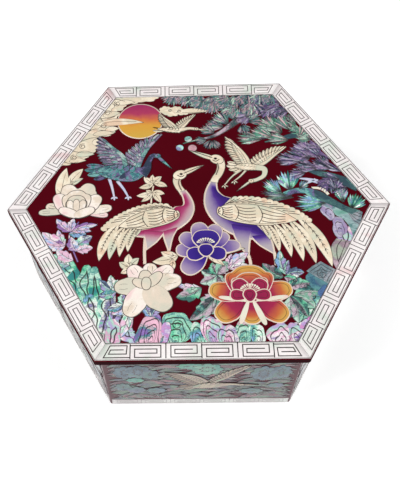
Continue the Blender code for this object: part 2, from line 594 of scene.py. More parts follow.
finishes = {
    # the lid's narrow faces, below its top, get near-black painted shade
    "lid": lacquerFinish("gloss_red_lacquer", colours["lacquer"], colours["lacquerDeep"], 0.1,
                         edge=lidHigh[2] - 0.0004),
    # the walls' red is paler and greyer than the lid's: painted reflection of the pale surroundings on the
    # upright lacquer
    "walls": lacquerFinish("sheen_greyed_red_lacquer", srgb(88, 46, 56), srgb(72, 32, 42), 0.12, 0.6),
    "inside": lacquerFinish("inside_red_lacquer", colours["lacquerDeep"], srgb(50, 3, 10), 0.3),
    "band": shellFinish("band_shell", [
        (0.0, colours["bandGreen"]), (0.4, colours["bandWhite"]), (0.7, srgb(244, 240, 238)),
        (1.0, colours["bandPink"])], 40.0, 0.0, gloss=0.22, tint=0.3, vary=0.06),
    "cream": shellFinish("cream_shell", [
        (0.0, colours["creamCool"]), (0.45, colours["cream"]), (0.75, srgb(243, 233, 210)),
        (1.0, colours["creamWarm"])], 60.0, gloss=0.24, tint=0.35, vary=0.12),
    "blueShell": shellFinish("blue_abalone_shell", blueDeep, **cutShell),
    "pinkShell": shellFinish("pink_abalone_shell", sprigTones, **cutShell),
    "leafShell": shellFinish("green_abalone_shell", leafTones, **dict(cutShell, ink=0.55)),
    "wingShell": shellFinish("mauve_abalone_feathers", bands(
        (62, 64, 88), (150, 122, 158), (86, 98, 118), (186, 166, 188), (78, 98, 114),
        (126, 176, 166), (196, 202, 200)), 50.0, 0.34, tint=0.7),
    "bodyShell": shellFinish("teal_abalone_feathers", bands(
        (48, 60, 80), (116, 100, 146), (58, 124, 126), (128, 184, 180), (56, 78, 104),
        (70, 146, 140), (136, 122, 160), (44, 84, 96), (110, 170, 168)), 60.0, 0.4, tint=0.9),
    "creamPetal": shellFinish("cream_petal_shell", [
        (0.0, srgb(212, 208, 190)), (0.45, srgb(230, 213, 194)), (0.7, srgb(247, 238, 227)),
        (1.0, srgb(238, 206, 204))], 60.0, 0.55, gloss=0.24, tint=0.9, vary=0.12),
    "slateContour": shellFinish("slate_abalone_stones", slateTones, 50.0, 0.3, tint=0.8, contour=1.05),
    "blueContour": shellFinish("blue_abalone_stones", blueDeep, **stone),
    "violetContour": shellFinish("violet_abalone_stones", blueViolet, **stone),
    "pinkContour": shellFinish("pink_abalone_stones", pinkPale, **stone),
    "greenContour": shellFinish("green_abalone_stones", greenPale, **stone),
    "barkContour": shellFinish("teal_abalone_bark", barkTones, 40.0, 0.5, tint=0.6),
    "darkBark": shellFinish("dark_abalone_bark", bands(
        (46, 60, 72), (64, 92, 98), (50, 74, 86), (80, 122, 118), (60, 70, 88)), 40.0, 0.5, tint=0.5),
    "greyBark": shellFinish("grey_abalone_bark", bands(
        (104, 136, 128), (176, 186, 168), (146, 126, 138), (200, 172, 184), (112, 132, 132)),
        70.0, 0.36, tint=0.5, contour=1.7),
    "blueSlab": shellFinish("deep_blue_abalone", bands(
        (58, 78, 124), (84, 118, 162), (54, 92, 120), (96, 148, 150), (66, 76, 118)), 50.0, 0.4, tint=0.5),
    "blueBare": shellFinish("pale_blue_shell", bands(
        (176, 190, 222), (214, 206, 224), (168, 204, 216)), 90.0, 0.3, vary=0.12),
    "knotContour": shellFinish("violet_abalone_knots", bands(
        (112, 98, 146), (182, 148, 186), (148, 140, 176), (196, 186, 204), (110, 146, 152),
        (170, 136, 176), (128, 118, 160)), 60.0, contour=2.1, vary=0.35, swing=2.0),
    "darkNeedles": shellFinish("dark_abalone_needles", pineDark, **needle),
    "violetNeedles": shellFinish("violet_abalone_needles", pineViolet, **needle),
    "greenNeedles": shellFinish("green_abalone_needles", bands(
        dark, taupe, moss, (84, 158, 128), (84, 84, 104), (170, 206, 184), taupe,
        (186, 158, 160)), **needle),
    "brightNeedles": shellFinish("bright_abalone_needles", bands(
        teal, green, mint, teal, paleBlue, mint, purple, green, white), ink=0.3, tint=1.1, bright=0.7,
        swing=1.4),
    # the sides' shell and the foot band are darker than the same shell on the lid: painted shade on the
    # upright sides
    "sideShell": shellFinish("side_shaded_grey_shell", bands(
        (54, 54, 64), (88, 98, 100), (96, 120, 100), (68, 74, 92), (124, 114, 112)),
        **sideCut),
    "sideRose": shellFinish("side_shaded_rose_shell", bands(
        (66, 42, 54), (112, 80, 90), (86, 104, 98), (136, 98, 104), (70, 54, 72)),
        **sideCut),
    "sideContour": shellFinish("side_shaded_abalone_clouds", bands(
        (62, 80, 94), (84, 104, 118), (80, 110, 104), (92, 104, 122), (96, 88, 110)),
        **sideCloud),
    "sideGreen": shellFinish("side_shaded_green_clouds", bands(
        (62, 124, 108), (84, 150, 124), (72, 130, 122), (112, 154, 136)),
        **sideCloud),
    "sideCream": shellFinish("side_shaded_cream_shell", bands(
        (150, 142, 122), (172, 158, 136), (158, 136, 124), (142, 150, 128)),
        **dict(sideCut, ink=0.4), vary=0.15, coat=0.3),
    "footBand": shellFinish("foot_band_shaded_shell", bands(
        (178, 190, 182), (206, 206, 202), (192, 186, 186)), 40.0, 0.0, vary=0.1, coat=0.5),
    "footInk": inkFinish("soft_engraved_ink", srgb(120, 114, 116)),
    "fruitShell": shellFinish("rose_grey_shell", bands(
        (196, 150, 160), (214, 176, 182), (176, 156, 168)), 60.0),
    "roseBare": shellFinish("pale_pink_shell", bands(
        (232, 214, 200), (226, 226, 206), (236, 206, 196)), 90.0, 0.0, vary=0.12),
    "violetPaint": paintFinish("violet_tinted_shell", [
        (0.0, srgb(40, 22, 112)), (0.4, srgb(62, 38, 138)), (0.7, srgb(124, 102, 160)),
        (1.0, srgb(176, 158, 178))]),
    "violetCrane": paintFinish("violet_tinted_breast", [
        (0.0, srgb(44, 20, 106)), (0.34, srgb(78, 46, 138)), (0.66, srgb(146, 128, 166)),
        (1.0, srgb(178, 168, 174))], 1.1),
    "roseCrane": paintFinish("rose_tinted_breast", [
        (0.0, srgb(150, 26, 80)), (0.34, srgb(172, 72, 116)), (0.66, srgb(190, 150, 160)),
        (1.0, srgb(188, 180, 180))], 1.0),
    "firePaint": paintFinish("orange_tinted_shell", [
        (0.0, srgb(134, 22, 70)), (0.5, srgb(160, 38, 74)), (0.74, srgb(194, 100, 60)),
        (0.92, srgb(206, 156, 78))],
        groove=2.2),
    "sunPaint": paintFinish("sun_tinted_shell", [
        (0.0, srgb(206, 168, 72)), (0.35, srgb(216, 158, 62)), (0.55, srgb(206, 112, 66)),
        (0.72, srgb(172, 56, 92)), (1.0, srgb(148, 36, 92))], 0.8),
    "ink": inkFinish("engraved_ink", colours["ink"]),
}
print("finishes:", len(finishes))


# Bands of pale shell with an engraved key fret

lidBand = {
    "outer": lidFlats / 2 - 0.5,  # apothem of the band's outer edge
    "inner": 89.6,
    "units": 6,  # keys on each side
    "margin": 1.5,  # bare shell along both edges
    "line": 0.44,  # half width of an engraved line
    "frontLine": 0.56,
    "rim": (0.3, 0.2),  # inset and half width of the lines along both edges
}
footBand = {"low": 0.4, "high": 7.2, "units": 6, "margin": 0.8, "line": 0.24, "ends": 1.0}


def keyCorners(flip):
    # one rectangular spiral in shares of its cell, (along, up); every second key is turned half round
    corners = np.array([
        (0, -0.12), (0, 1), (0.86, 1), (0.86, 0), (0.13, 0), (0.13, 0.7), (0.75, 0.7), (0.75, 0.35),
        (0.25, 0.35)])
    return 1 - corners if flip else corners


def keyRun(plate, lines, band, low, high, halfAt, pitch, degrees=0):
    # one straight strip between two heights, whose half length at each height is halfAt(height)
    heights = (low + high) / 2 + (high - low) / 2 * -archAcross
    x = np.linspace(-1, 1, 25)[:, None] * (halfAt(heights) - 0.06)
    up = np.where(archUp > 0, np.minimum(archUp * 1.05, 1) * inlay["thickness"], -inlay["bedding"])
    flat = turned(np.stack(np.broadcast_arrays(-x, heights), -1), degrees)
    rings = np.concatenate([flat, np.broadcast_to(up, x.shape[:1] + up.shape)[..., None]], -1)[None]
    plate.add({"rings": rings, "rim": 1.0}, 0.5)
    low, high, units = low + band["margin"], high - band["margin"], band["units"]
    for unit in range(units):
        flip = unit % 2 == 0
        left, right = (unit - units / 2) * pitch, (unit + 1 - units / 2) * pitch
        corners = keyCorners(flip)
        y = low + (high - low) * corners[:, 1]
        limit = halfAt(y) - band["margin"]
        start = np.full(len(y), left) if unit else -limit
        stop = np.full(len(y), right) if unit < units - 1 else limit
        path = np.stack([start + (stop - start) * corners[:, 0], y], -1)
        lines.add(hairline(turned(path, degrees), band["line"]))
        if flip and unit:
            # a line right across the band between pairs of keys
            lines.add(hairline(turned([(left, y.min() - 0.6), (left, y.max() + 0.6)], degrees), band["line"]))


def makeLidBand():
    plate = Piece("lid_band_shell", lidPlane, "band", "pale_shell")
    lines = Piece("lid_band_fret", lidPlane, "ink", "pale_shell", 10)
    pitch = lidFlats / math.sqrt(3) / lidBand["units"]
    for side in range(6):
        band = lidBand if side else dict(lidBand, line=lidBand["frontLine"])
        keyRun(plate, lines, band, -lidBand["outer"], -lidBand["inner"],
               lambda y: np.abs(y) / math.sqrt(3), pitch, 60 * side)
    inset, line = lidBand["rim"]
    for edge in (lidBand["outer"] - inset, lidBand["inner"] + inset):
        half = edge / math.sqrt(3)
        for side in range(6):
            lines.add(hairline(turned([[-half, -edge], [half, -edge]], 60 * side), line))
    plate.build()
    lines.build()


makeLidBand()
print("lid band done")


# Parts that many figures share

def strokes(piece, paths, half):
    # engraved lines, each a smooth curve through a few points
    piece.add(blades(np.stack([curve(path, 12) for path in paths]), half, True, 0.5))


def feathers(piece, bone, edge, starts, stops, half, bend, layer=0, end=1.0, halved=0.0):
    # overlapping long feathers from shares of the bone towards shares of the wing's trailing edge
    roots, tips = pointsAt(bone, starts), pointsAt(edge, stops)
    shape = leaves(roots, roots + (tips - roots) * end, half, bend, 0.66, 12, full=0.45)
    piece.add(shape, layer=layer, spread=0.3, halved=halved)


def veins(piece, bases, tips, bends=0.0, pairs=0, half=0.22):
    # a fine midrib down each leaf, and pairs of side veins from it
    bases, tips = np.array(bases, float), np.array(tips, float)
    run = tips - bases
    piece.add(leaves(bases, bases + run * 0.88, half, bends, 0.4, fine=True))
    side = np.stack([-run[:, 1], run[:, 0]], -1)
    for share in np.linspace(0.22, 0.58, pairs):
        bow = np.reshape(4 * share * (1 - share) * np.array(bends), (-1, 1))
        root = bases + run * share + side * bow
        for hand in (1, -1):
            piece.add(leaves(root, root + run * 0.17 + side * hand * 0.14, half * 0.9, 0.0, 0.4, 6, True))


def needleFans(piece, fans, needles):
    # each fan is (x, y, radius, middle direction, half spread): needles from one point, shorter towards the
    # sides as 1 - 0.22 share^2 and every second one a little more; those past the picture's edge are left out
    x, y, radius, middle, half = np.array(fans, float).T
    share = np.linspace(-1, 1, needles)
    t = np.radians(middle[:, None] + half[:, None] * share)
    length = radius[:, None] * (1 - 0.22 * share**2 - 0.08 * (np.arange(needles) % 2))
    heading = np.stack([np.cos(t), np.sin(t)], -1)
    roots = np.stack([x, y], -1)[:, None]
    bases, tips = roots + heading * radius[:, None, None] * 0.08, roots + heading * length[..., None]
    widths = np.repeat(radius * np.radians(half) / needles * 1.05, needles)
    bases, tips = bases.reshape(-1, 2), tips.reshape(-1, 2)
    seen = np.minimum(apothem(bases), apothem(tips)) < piece.plane["edge"] - 2
    piece.add(leaves(bases[seen], tips[seen], widths[seen], 0.0, 0.66, 6, True), spread=0.02)


curl = {"turns": 1.5, "inner": 0.3, "line": 0.3}


def spirals(piece, centres, radius):
    # an engraved curl whose radius falls evenly to a share of itself, each begun 30 degrees on
    for i, centre in enumerate(centres):
        radii = np.linspace(radius, radius * curl["inner"], 26)
        piece.add(hairline(arc(centre, radii, 30 * i, 30 * i + 360 * curl["turns"], 26), curl["line"]))


# The sun, and clouds down the upper left edge

sun = {"centre": (-35.5, 68.5), "radius": 15.0}
clouds = {
    # lumps are (x, y, half width, half height)
    "lumps": [
        (-34, 89, 10, 4), (-44, 88, 9, 5), (-53, 83, 8, 6), (-57, 75, 8, 5.5), (-60, 66, 9, 4),
        (-62, 60, 10, 4.5), (-68, 54, 8, 5), (-70, 47, 8.5, 5), (-78, 40, 10, 4.5), (-85, 36, 8, 3.5),
        (-60, 82, 7, 6), (-66, 68, 6, 6)],
    "tongues": [  # (from, to, half width)
        ((-64, 66), (-33, 67.2), 3.2), ((-58, 61), (-49, 62.5), 2.4), ((-66, 57.5), (-52, 58.5), 2.4),
        ((-66, 50), (-59, 52), 3.0), ((-76, 41), (-64, 41.5), 2.6), ((-52, 84), (-39, 85), 2.4),
        ((-80, 36), (-69, 36.5), 2.2), ((-60, 73), (-48.5, 76), 2.6)],
    "curls": [(-57, 76), (-59, 65), (-72, 48), (-77, 39), (-51, 84)],
    "wisp": [(-19, 77.5, 4.2, 3.6), (-15, 75.6, 5.4, 3.8), (-12, 78, 4.4, 2.8), (-8, 75.6, 5, 2.8)],
    "wispTail": ((-12, 75.2), (10, 75.6), 2.4),
    "wispCurls": [(-16, 77), (-10, 76.2)],
    "lines": [
        [(-60, 86), (-52, 88), (-46, 86)], [(-66, 73), (-58, 71), (-52, 73)],
        [(-70, 62), (-62, 61.5), (-54, 60)], [(-60, 67.5), (-50, 68.5), (-38, 68)],
        [(-74, 52), (-66, 55), (-60, 54)], [(-80, 45), (-73, 43), (-66, 42.5)],
        [(-86, 38), (-80, 34.5), (-74, 35.5)], [(-8, 75), (-2, 74.8), (5, 75.3)]],
}


def makeSky():
    disc = lobedDiscs([sun["centre"]], sun["radius"], sun["radius"], around=72)
    share = (disc["rings"][..., 1] - sun["centre"][1]) / sun["radius"] / 2 + 0.5
    Piece("sun", fieldPlane, "sunPaint", "tinted_shell", 8).add(disc, share).build()
    pale = Piece("clouds", fieldPlane, "cream", "pale_shell", 1)
    lines = Piece("cloud_lines", fieldPlane, "ink", "pale_shell", 19)
    lumps = np.array(clouds["lumps"] + clouds["wisp"], float)
    pale.add(lobedDiscs(lumps[:, :2], lumps[:, 2], lumps[:, 3], 7, 0.2), spread=0.5)
    for begin, end, half in clouds["tongues"] + [clouds["wispTail"]]:
        pale.add(leaves([begin], [end], half, 0.05, 0.42, 14), layer=9)
    spirals(lines, clouds["curls"], 2.3)
    spirals(lines, clouds["wispCurls"], 1.3)
    strokes(lines, clouds["lines"], 0.26)
    pale.build()
    lines.build()


makeSky()


# Standing cranes: a tinted breast between two edges, a pale neck, and a wing of scales, ribs and feathers

rightCrane = {
    "breast": [(8.0, 18.6), (5.6, 13.4), (4.2, 8), (4, 1), (6, -6), (10.5, -13), (17, -19), (24, -22.5),
               (32, -24.5), (41.5, -23.5)],
    "back": [(12.6, 17.4), (13.2, 11.6), (16.4, 7.6), (21, 5.6), (22.5, 2), (23, -4), (28, -9), (34, -12.5),
             (38, -17), (42, -22.5)],
    "thighs": [([(18.5, -13), (21.5, -24), (28, -37)], [(33, -16), (30.5, -25), (29, -37)]),
               ([(30, -22), (35, -28.5), (43, -34.5)], [(41.5, -21), (43.5, -27), (44.2, -34.5)])],
    "legs": [[(28.6, -35), (29.4, -40), (29.4, -46)], [(43.5, -33), (43.8, -37), (44, -42)]],
    "neck": [(14.8, 36), (15.6, 30.5), (14.2, 25), (11.6, 20.6), (9.8, 15.6)],
    "neckHalves": [2.8, 2.7, 2.5, 2.4, 2.7],
    "head": (13.0, 35.6), "headTurn": -28, "beak": (-4.5, 43.5), "hand": 1,
    "lead": [(20, 5.2), (30, 5.6), (41, 3.6), (51, -0.6), (60, -6), (66, -12)],
    "covertTop": [(12.0, -4), (13.2, -1.2), (17.4, 0.6), (25, 1.2), (34, 0.6), (44, -2.2), (52, -6),
                  (58.5, -11)],
    "covertLow": [(12.0, -4.5), (13.2, -6.8), (17.2, -9.4), (25, -12), (34, -13.7), (43, -14.2),
                  (51.5, -13.6), (58.5, -11.8)],
    "primaries": [((36, -12), (41.8, -25), 2.1), ((39, -12), (46.4, -33.5), 2.6),
                  ((43.5, -12), (53, -37), 3.0), ((48, -11), (59.6, -39.8), 3.3),
                  ((52.5, -9.4), (66.6, -41.5), 3.6), ((57, -6.4), (75.6, -43.8), 4.0)],
}
leftCrane = {
    "breast": [(-6.6, 12.4), (-4, 8), (-2, 2.5), (-1.8, -3.5), (-4.5, -10), (-10, -15.4), (-16, -19),
               (-24, -21.4), (-31, -22), (-38.5, -21)],
    "back": [(-10.6, 11), (-8.8, 5.5), (-9, 0.8), (-14, -0.2), (-16, -4), (-17, -9), (-22, -12.5), (-29, -15),
             (-35, -16.5), (-39, -20.4)],
    "thighs": [([(-33, -17), (-31.6, -24), (-30.6, -31)], [(-19, -18), (-24, -25), (-29.6, -30)]),
               ([(-21.5, -18), (-20.2, -24), (-17.8, -32)], [(-11, -14.5), (-14.5, -22), (-16.6, -32)])],
    "legs": [[(-31.2, -22), (-31.5, -31), (-31.2, -40)], [(-17.4, -30), (-17.2, -37), (-16, -46)]],
    "neck": [(-11, 24), (-12.2, 19.6), (-11.4, 15.5), (-9.8, 12.6), (-8, 9.4)],
    "neckHalves": [2.7, 2.6, 2.3, 2.2, 2.4],
    "head": (-10.2, 23.8), "headTurn": 28, "beak": (5, 31.2), "hand": -1,
    "lead": [(-16, 0.4), (-26, 1.6), (-36, -0.6), (-44, -4.6), (-51.5, -10), (-56, -15.5)],
    "covertTop": [(-11.2, -6), (-12.2, -3.6), (-16, -1.5), (-22, -1), (-30, -2.4), (-38, -5.8), (-43, -9.6),
                  (-47, -13.6)],
    "covertLow": [(-11.2, -6.5), (-12.2, -8.5), (-15.6, -10.8), (-21, -13), (-28, -14.8), (-35, -15.6),
                  (-41.5, -15.6), (-47, -14.4)],
    "primaries": [((-33, -14), (-37.6, -22), 2.0), ((-35.5, -14), (-41.2, -31.8), 2.5),
                  ((-38.5, -13.5), (-46, -35.2), 2.8), ((-42, -12.6), (-51.8, -37), 3.1),
                  ((-45.5, -10.5), (-57.8, -37.8), 3.7)],
}
standing = {
    "ribGroups": [(0.08, 0.17, 3), (0.22, 0.36, 5), (0.41, 0.58, 5), (0.63, 0.86, 4)],  # (from, to, ribs)
    "ribLine": 0.38,
    "leg": 0.9,  # half widths here and below
    "head": (4.6, 3.7),
    "beak": 2.0,
    "eye": (0.9, 0.75),
    "faceLine": 0.26,
    "bow": 0.36,  # how far the long feathers bow, as a share of their length
    "spine": (0.42, 0.16),  # the midrib's half width at the root and at the tip
    "barbs": 7,  # pairs on each midrib
    "barb": 0.34,
    "scales": 15,  # along the wing's leading edge
    "scale": 2.5,
    "bars": 12,
    "barLine": 0.3,
    "rim": 0.75,
    "under": -24,  # layers from the lines on the coverts down to those on the long feathers
}


def ribs(crane):
    # lines along the coverts at even shares between their edges, and a curved line across before each group
    paths = []
    for begin, end, count in standing["ribGroups"]:
        u = np.linspace(begin, end, 5)
        top, low = pointsAt(crane["covertTop"], u), pointsAt(crane["covertLow"], u)
        for share in np.linspace(0.18, 0.82, count):
            v = share + 0.08 * np.sin(math.pi * np.linspace(0, 1, 5))[:, None]
            paths.append(top + (low - top) * v)
        u = begin - 0.025 + 0.035 * np.sin(math.pi * np.linspace(0, 1, 5))
        top, low = pointsAt(crane["covertTop"], u), pointsAt(crane["covertLow"], u)
        paths.append(top + (low - top) * np.linspace(0.06, 0.94, 5)[:, None])
    return paths


def standingCrane(name, crane, paint):
    hand = crane["hand"]  # 1 where the tail is on the right, -1 where it is on the left
    breast, back = curve(crane["breast"], 56), curve(crane["back"], 56)
    body = Piece(name + "_breast_and_legs", fieldPlane, paint, "tinted_shell", 2)
    patch = between(breast, back)
    # the tint pales towards the breast's own edge, and in the first tenth of the neck
    toBreast = np.linalg.norm(patch["rings"][..., :2] - back[:, None], axis=-1)
    toBreast = toBreast / np.maximum(np.linalg.norm(breast - back, axis=-1), 1)[:, None]
    body.add(patch, np.clip(np.maximum(toBreast * 1.45 - 0.4, 1 - 10 * patch["along"]), 0, 1), layer=2)
    for first, second in crane["thighs"]:
        thigh = between(curve(first, 20), curve(second, 20))
        body.add(thigh, np.clip(0.15 + 1.5 * thigh["along"], 0, 1), layer=3)
    body.add(blades(np.stack([curve(leg, 10) for leg in crane["legs"]]), standing["leg"]), 1.0)
    body.build()

    pale = Piece(name + "_head_and_wing", fieldPlane, "cream", "pale_shell", 6)
    lines = Piece(name + "_lines", fieldPlane, "ink", "pale_shell", 38)
    head, beak = np.array(crane["head"], float), np.array(crane["beak"], float)
    halves = crane["neckHalves"]
    widths = np.interp(np.linspace(0, 1, 24), np.linspace(0, 1, len(halves)), halves)
    pale.add(blades(curve(crane["neck"], 24), widths), layer=-5)
    pale.add(lobedDiscs([head], *standing["head"], turn=crane["headTurn"]), layer=6)
    pale.add(leaves([head + (beak - head) * 0.1], [beak], standing["beak"], 0.02, 0.25), layer=5)
    lines.add(lobedDiscs([head + (-0.8 * hand, 0.5)], *standing["eye"], around=12))
    # lines down the beak, round the cheek and down the neck
    strokes(lines, [[head + (beak - head) * share for share in (0.16, 0.5, 0.9)],
                    [head + (-2.6 * hand, -0.6), head + (-0.6 * hand, -1.6), head + (1.6 * hand, -0.2)],
                    [head + (0.4 * hand, -3), head + (0.8 * hand, -7), head + (-0.8 * hand, -12)]],
            standing["faceLine"])

    roots = np.array([feather[0] for feather in crane["primaries"]], float)
    tips = np.array([feather[1] for feather in crane["primaries"]], float)
    halves = np.array([feather[2] for feather in crane["primaries"]])
    pale.add(leaves(roots, tips, halves, standing["bow"] / 4 * hand, 0.5, 20, full=0.75), spread=-0.6,
             layer=4)
    run = tips - roots
    along = np.linspace(0.1, 0.8, 16)[:, None, None]
    bow = np.stack([-run[:, 1], run[:, 0]], -1) * standing["bow"] * hand
    spines = (roots + run * along + bow * along * (1 - along)).swapaxes(0, 1)
    lines.add(blades(spines, np.linspace(*standing["spine"], 16), True), layer=standing["under"])
    side = bow / np.linalg.norm(bow, axis=1)[:, None]
    for share in np.linspace(0.2, 0.7, standing["barbs"]):
        spot = roots + run * share + bow * share * (1 - share)
        for turn in (1, -1):
            barbs = leaves(spot, spot + run * 0.05 + side * turn, standing["barb"], 0.0, 0.3, 5, True)
            lines.add(barbs, layer=standing["under"])

    inner = curve(crane["covertTop"], 40)
    pale.add(between(pointsAt(crane["lead"], np.linspace(0, 1, 40)), inner), layer=12)
    starts = np.linspace(0.0, 0.9, standing["scales"])
    begin, end = pointsAt(crane["lead"], starts), pointsAt(crane["lead"], starts + 0.1)
    scales = leaves(begin + (0, -1.3), end + (0, -1.7), standing["scale"], 0.14 * hand, 0.6, 10)
    pale.add(scales, layer=13, spread=-0.1)
    bars = np.linspace(0.08, 0.86, standing["bars"])
    outside, inside = pointsAt(crane["lead"], bars), pointsAt(crane["covertTop"], bars * 0.9 + 0.08)
    strokes(lines, [[a * 0.86 + b * 0.14, (a + b) / 2 + (0.4 * hand, 0), a * 0.2 + b * 0.8]
                    for a, b in zip(outside, inside)], standing["barLine"])
    pale.add(between(inner, curve(crane["covertLow"], 40)), layer=16)
    rim = np.concatenate([curve(crane["covertTop"], 40)[6:0:-1], curve(crane["covertLow"], 40)[1:30]])
    pale.add(blades(rim, standing["rim"]), layer=18)
    strokes(lines, ribs(crane), standing["ribLine"])
    pale.build()
    lines.build()


standingCrane("right_crane", rightCrane, "violetCrane")
standingCrane("left_crane", leftCrane, "roseCrane")


# Flying cranes: each wing is (bone, trailing edge), the body lies between an upper and a lower edge,
# a tail quill is (root, tip), a beak is (root, tip, half width), and feather is a feather's half width

flying = {
    "blue_crane": {
        "finish": "wingShell", "bodyFinish": "bodyShell", "slot": "blue_shell", "feather": 1.9,
        "legFinish": "blueBare", "halved": 0.5,
        "upper": [(-63, 30), (-55, 32.4), (-46, 33), (-38, 31.4), (-31.5, 29.5)],
        "lower": [(-63, 27), (-56, 22.6), (-47, 19.6), (-38, 19.6), (-31, 25)],
        "neck": [(-34.5, 25), (-31, 29), (-29.6, 34.5), (-27.4, 39), (-24, 39)],
        "neckHalves": [4.6, 3.0, 1.9, 1.7, 1.7],
        "beak": ((-24.5, 39), (-15, 28.5), 1.2),
        "wings": [([(-44, 30), (-46, 39), (-53, 46.5), (-62, 55.5)],
                   [(-56, 30), (-60, 35), (-62.5, 40), (-64, 47), (-63.4, 55)]),
                  ([(-37, 29), (-33.5, 39), (-28.5, 48), (-21.5, 57)],
                   [(-47, 37), (-45, 42), (-40.5, 47.5), (-33, 53.5), (-22.5, 57)])],
        "tail": [((-54, 31), (-69, 33)), ((-54, 29.5), (-70, 29)), ((-54, 27.5), (-68, 25)),
                 ((-52, 26), (-64, 21.5))],
        "legs": [[(-54, 22), (-52, 15), (-50.5, 8)], [(-49, 20), (-45, 14), (-42, 8)]],
    },
    "cream_crane": {
        "finish": "cream", "slot": "pale_shell", "feather": 1.5, "legFinish": "cream",
        "upper": [(24, 30.5), (29, 32), (35, 31.5), (40, 30)],
        "lower": [(24, 28.6), (29, 26.6), (35, 26.2), (40, 26.6)],
        "neck": [(37, 28.6), (42, 27), (41.4, 22), (37, 19), (33.4, 18)],
        "neckHalves": [2.4, 2.1, 1.6, 1.4, 1.5],
        "beak": ((33.4, 18.2), (24, 10.4), 0.9),
        "wings": [([(34, 29), (31.5, 37), (27, 44.5), (19, 53.5)],
                   [(25, 31), (22.5, 35), (20, 40), (18, 46), (18.6, 53)]),
                  ([(38, 29), (44, 33), (50, 38.5), (57, 44.6)],
                   [(33, 34), (37, 38.6), (43, 42.6), (50, 45.4), (56.5, 45)])],
        "tail": [((28, 30.5), (19.4, 33.5)), ((28, 30), (18.6, 30.4)), ((28, 29), (20, 27.2)),
                 ((28, 28.4), (23, 25.4))],
        "legs": [[(28, 27), (22, 22), (17, 15.4)], [(31, 27), (27, 22), (23, 18.4)]],
    },
    "sun_crane": {
        "finish": "cream", "slot": "pale_shell", "feather": 1.2,
        "upper": [(-24, 62), (-18, 62.4), (-12, 61.6), (-7, 60.8)],
        "lower": [(-24, 60.6), (-18, 58.6), (-12, 57.8), (-7, 58.8)],
        "neck": [(-10, 60), (-4, 61.2), (1, 60.6)], "neckHalves": [1.7, 1.2, 1.2],
        "beak": ((1, 60.4), (9, 59), 0.7),
        "wings": [([(-11, 60), (-14, 65), (-18.5, 69.5), (-23.5, 74)],
                   [(-18, 61), (-21.5, 64), (-24, 69), (-24, 74)]),
                  ([(-10, 60), (-6.5, 64), (-3.5, 68), (0.5, 73)],
                   [(-15.5, 62.5), (-11.5, 67), (-6.5, 71), (0, 73.4)])],
        "tail": [((-19, 61), (-27.5, 63)), ((-19, 60), (-27.5, 60.2))],
        "legs": [],
    },
}


featherRows = [(1, 1, 2), (0.9, 0.56, 6), (0.8, 0.3, 10)]  # (half width, length, layer), the longest first
flyingLines = {"tail": 0.18, "wing": 0.24}


def flyingCrane(name, plane, bird, layer=8, ink="ink"):
    feather = bird["feather"]
    piece = Piece(name + "_wings", plane, bird["finish"], bird["slot"], layer)
    body = Piece(name + "_body", plane, bird.get("bodyFinish", bird["finish"]), bird["slot"], layer)
    lines = Piece(name + "_lines", plane, ink, "pale_shell", layer + 26)
    if bird["legs"]:
        legs = Piece(name + "_legs", plane, bird["legFinish"], bird["slot"], layer)
        for leg in bird["legs"]:
            legs.add(blades(curve(leg, 10), feather * np.linspace(0.6, 0.36, 10)))
            foot = np.array(leg[-1], float)
            legs.add(leaves([foot] * 3, foot + [(-2.0, -1.8), (0.3, -3.0), (2.4, -1.4)], feather * 0.4))
        legs.build()
    begin, end = np.array(bird["tail"], float).swapaxes(0, 1)
    body.add(leaves(begin, end, feather * 1.15, 0.03, 0.6, 10, full=0.5), spread=0.3)
    strokes(lines, [[a + (b - a) * share for share in (0.3, 0.6, 0.92)] for a, b in zip(begin, end)],
            flyingLines["tail"])
    for number, (bone, edge) in enumerate(bird["wings"]):
        bend = 0.06 * (1 if number else -1)
        starts, stops = np.linspace(0.0, 0.66, 11), np.linspace(0.0, 1.0, 11)
        for share, end, level in featherRows:
            half = feather * share * 0.88
            feathers(piece, bone, edge, starts, stops, half, bend, level, end, bird.get("halved", 0.0))
        roots, tips = pointsAt(bone, starts), pointsAt(edge, stops)
        strokes(lines, [[a + (b - a) * share for share in (0.42, 0.7, 0.97)] for a, b in zip(roots, tips)],
                flyingLines["wing"])
        piece.add(blades(curve(bone, 20), np.linspace(1.0, 0.4, 20) * feather), layer=14)
    upper, lower = curve(bird["upper"], 24), curve(bird["lower"], 24)
    body.add(between(upper, lower), layer=16)
    # two rows of small feathers over the body
    for starts, stops, level, end in (((0.9, 0.3, 7), (0.66, 0.0, 7), 17, 0.86),
                                      ((0.95, 0.4, 6), (0.8, 0.2, 6), 20, 0.4)):
        feathers(body, bird["upper"], bird["lower"], np.linspace(*starts), np.linspace(*stops), feather,
                 0.1, level, end)
    halves = bird["neckHalves"]
    widths = np.interp(np.linspace(0, 1, 24), np.linspace(0, 1, len(halves)), halves)
    body.add(blades(curve(bird["neck"], 24), widths), layer=22)
    begin, end, half = bird["beak"]
    body.add(leaves([begin], [end], half, 0.0, 0.25), layer=23)
    body.add(lobedDiscs([bird["neck"][-1]], halves[-1] * 1.25, halves[-1] * 1.05, around=24), layer=24)
    lines.add(lobedDiscs([bird["neck"][-1]], 0.4, 0.4, around=8))
    piece.build()
    body.build()
    lines.build()


for name, bird in flying.items():
    flyingCrane(name, fieldPlane, bird)
print("cranes done")


# Peonies: a layer is (finish, deepest tone, scallops, petals), a petal (x, y, direction, length, half width)

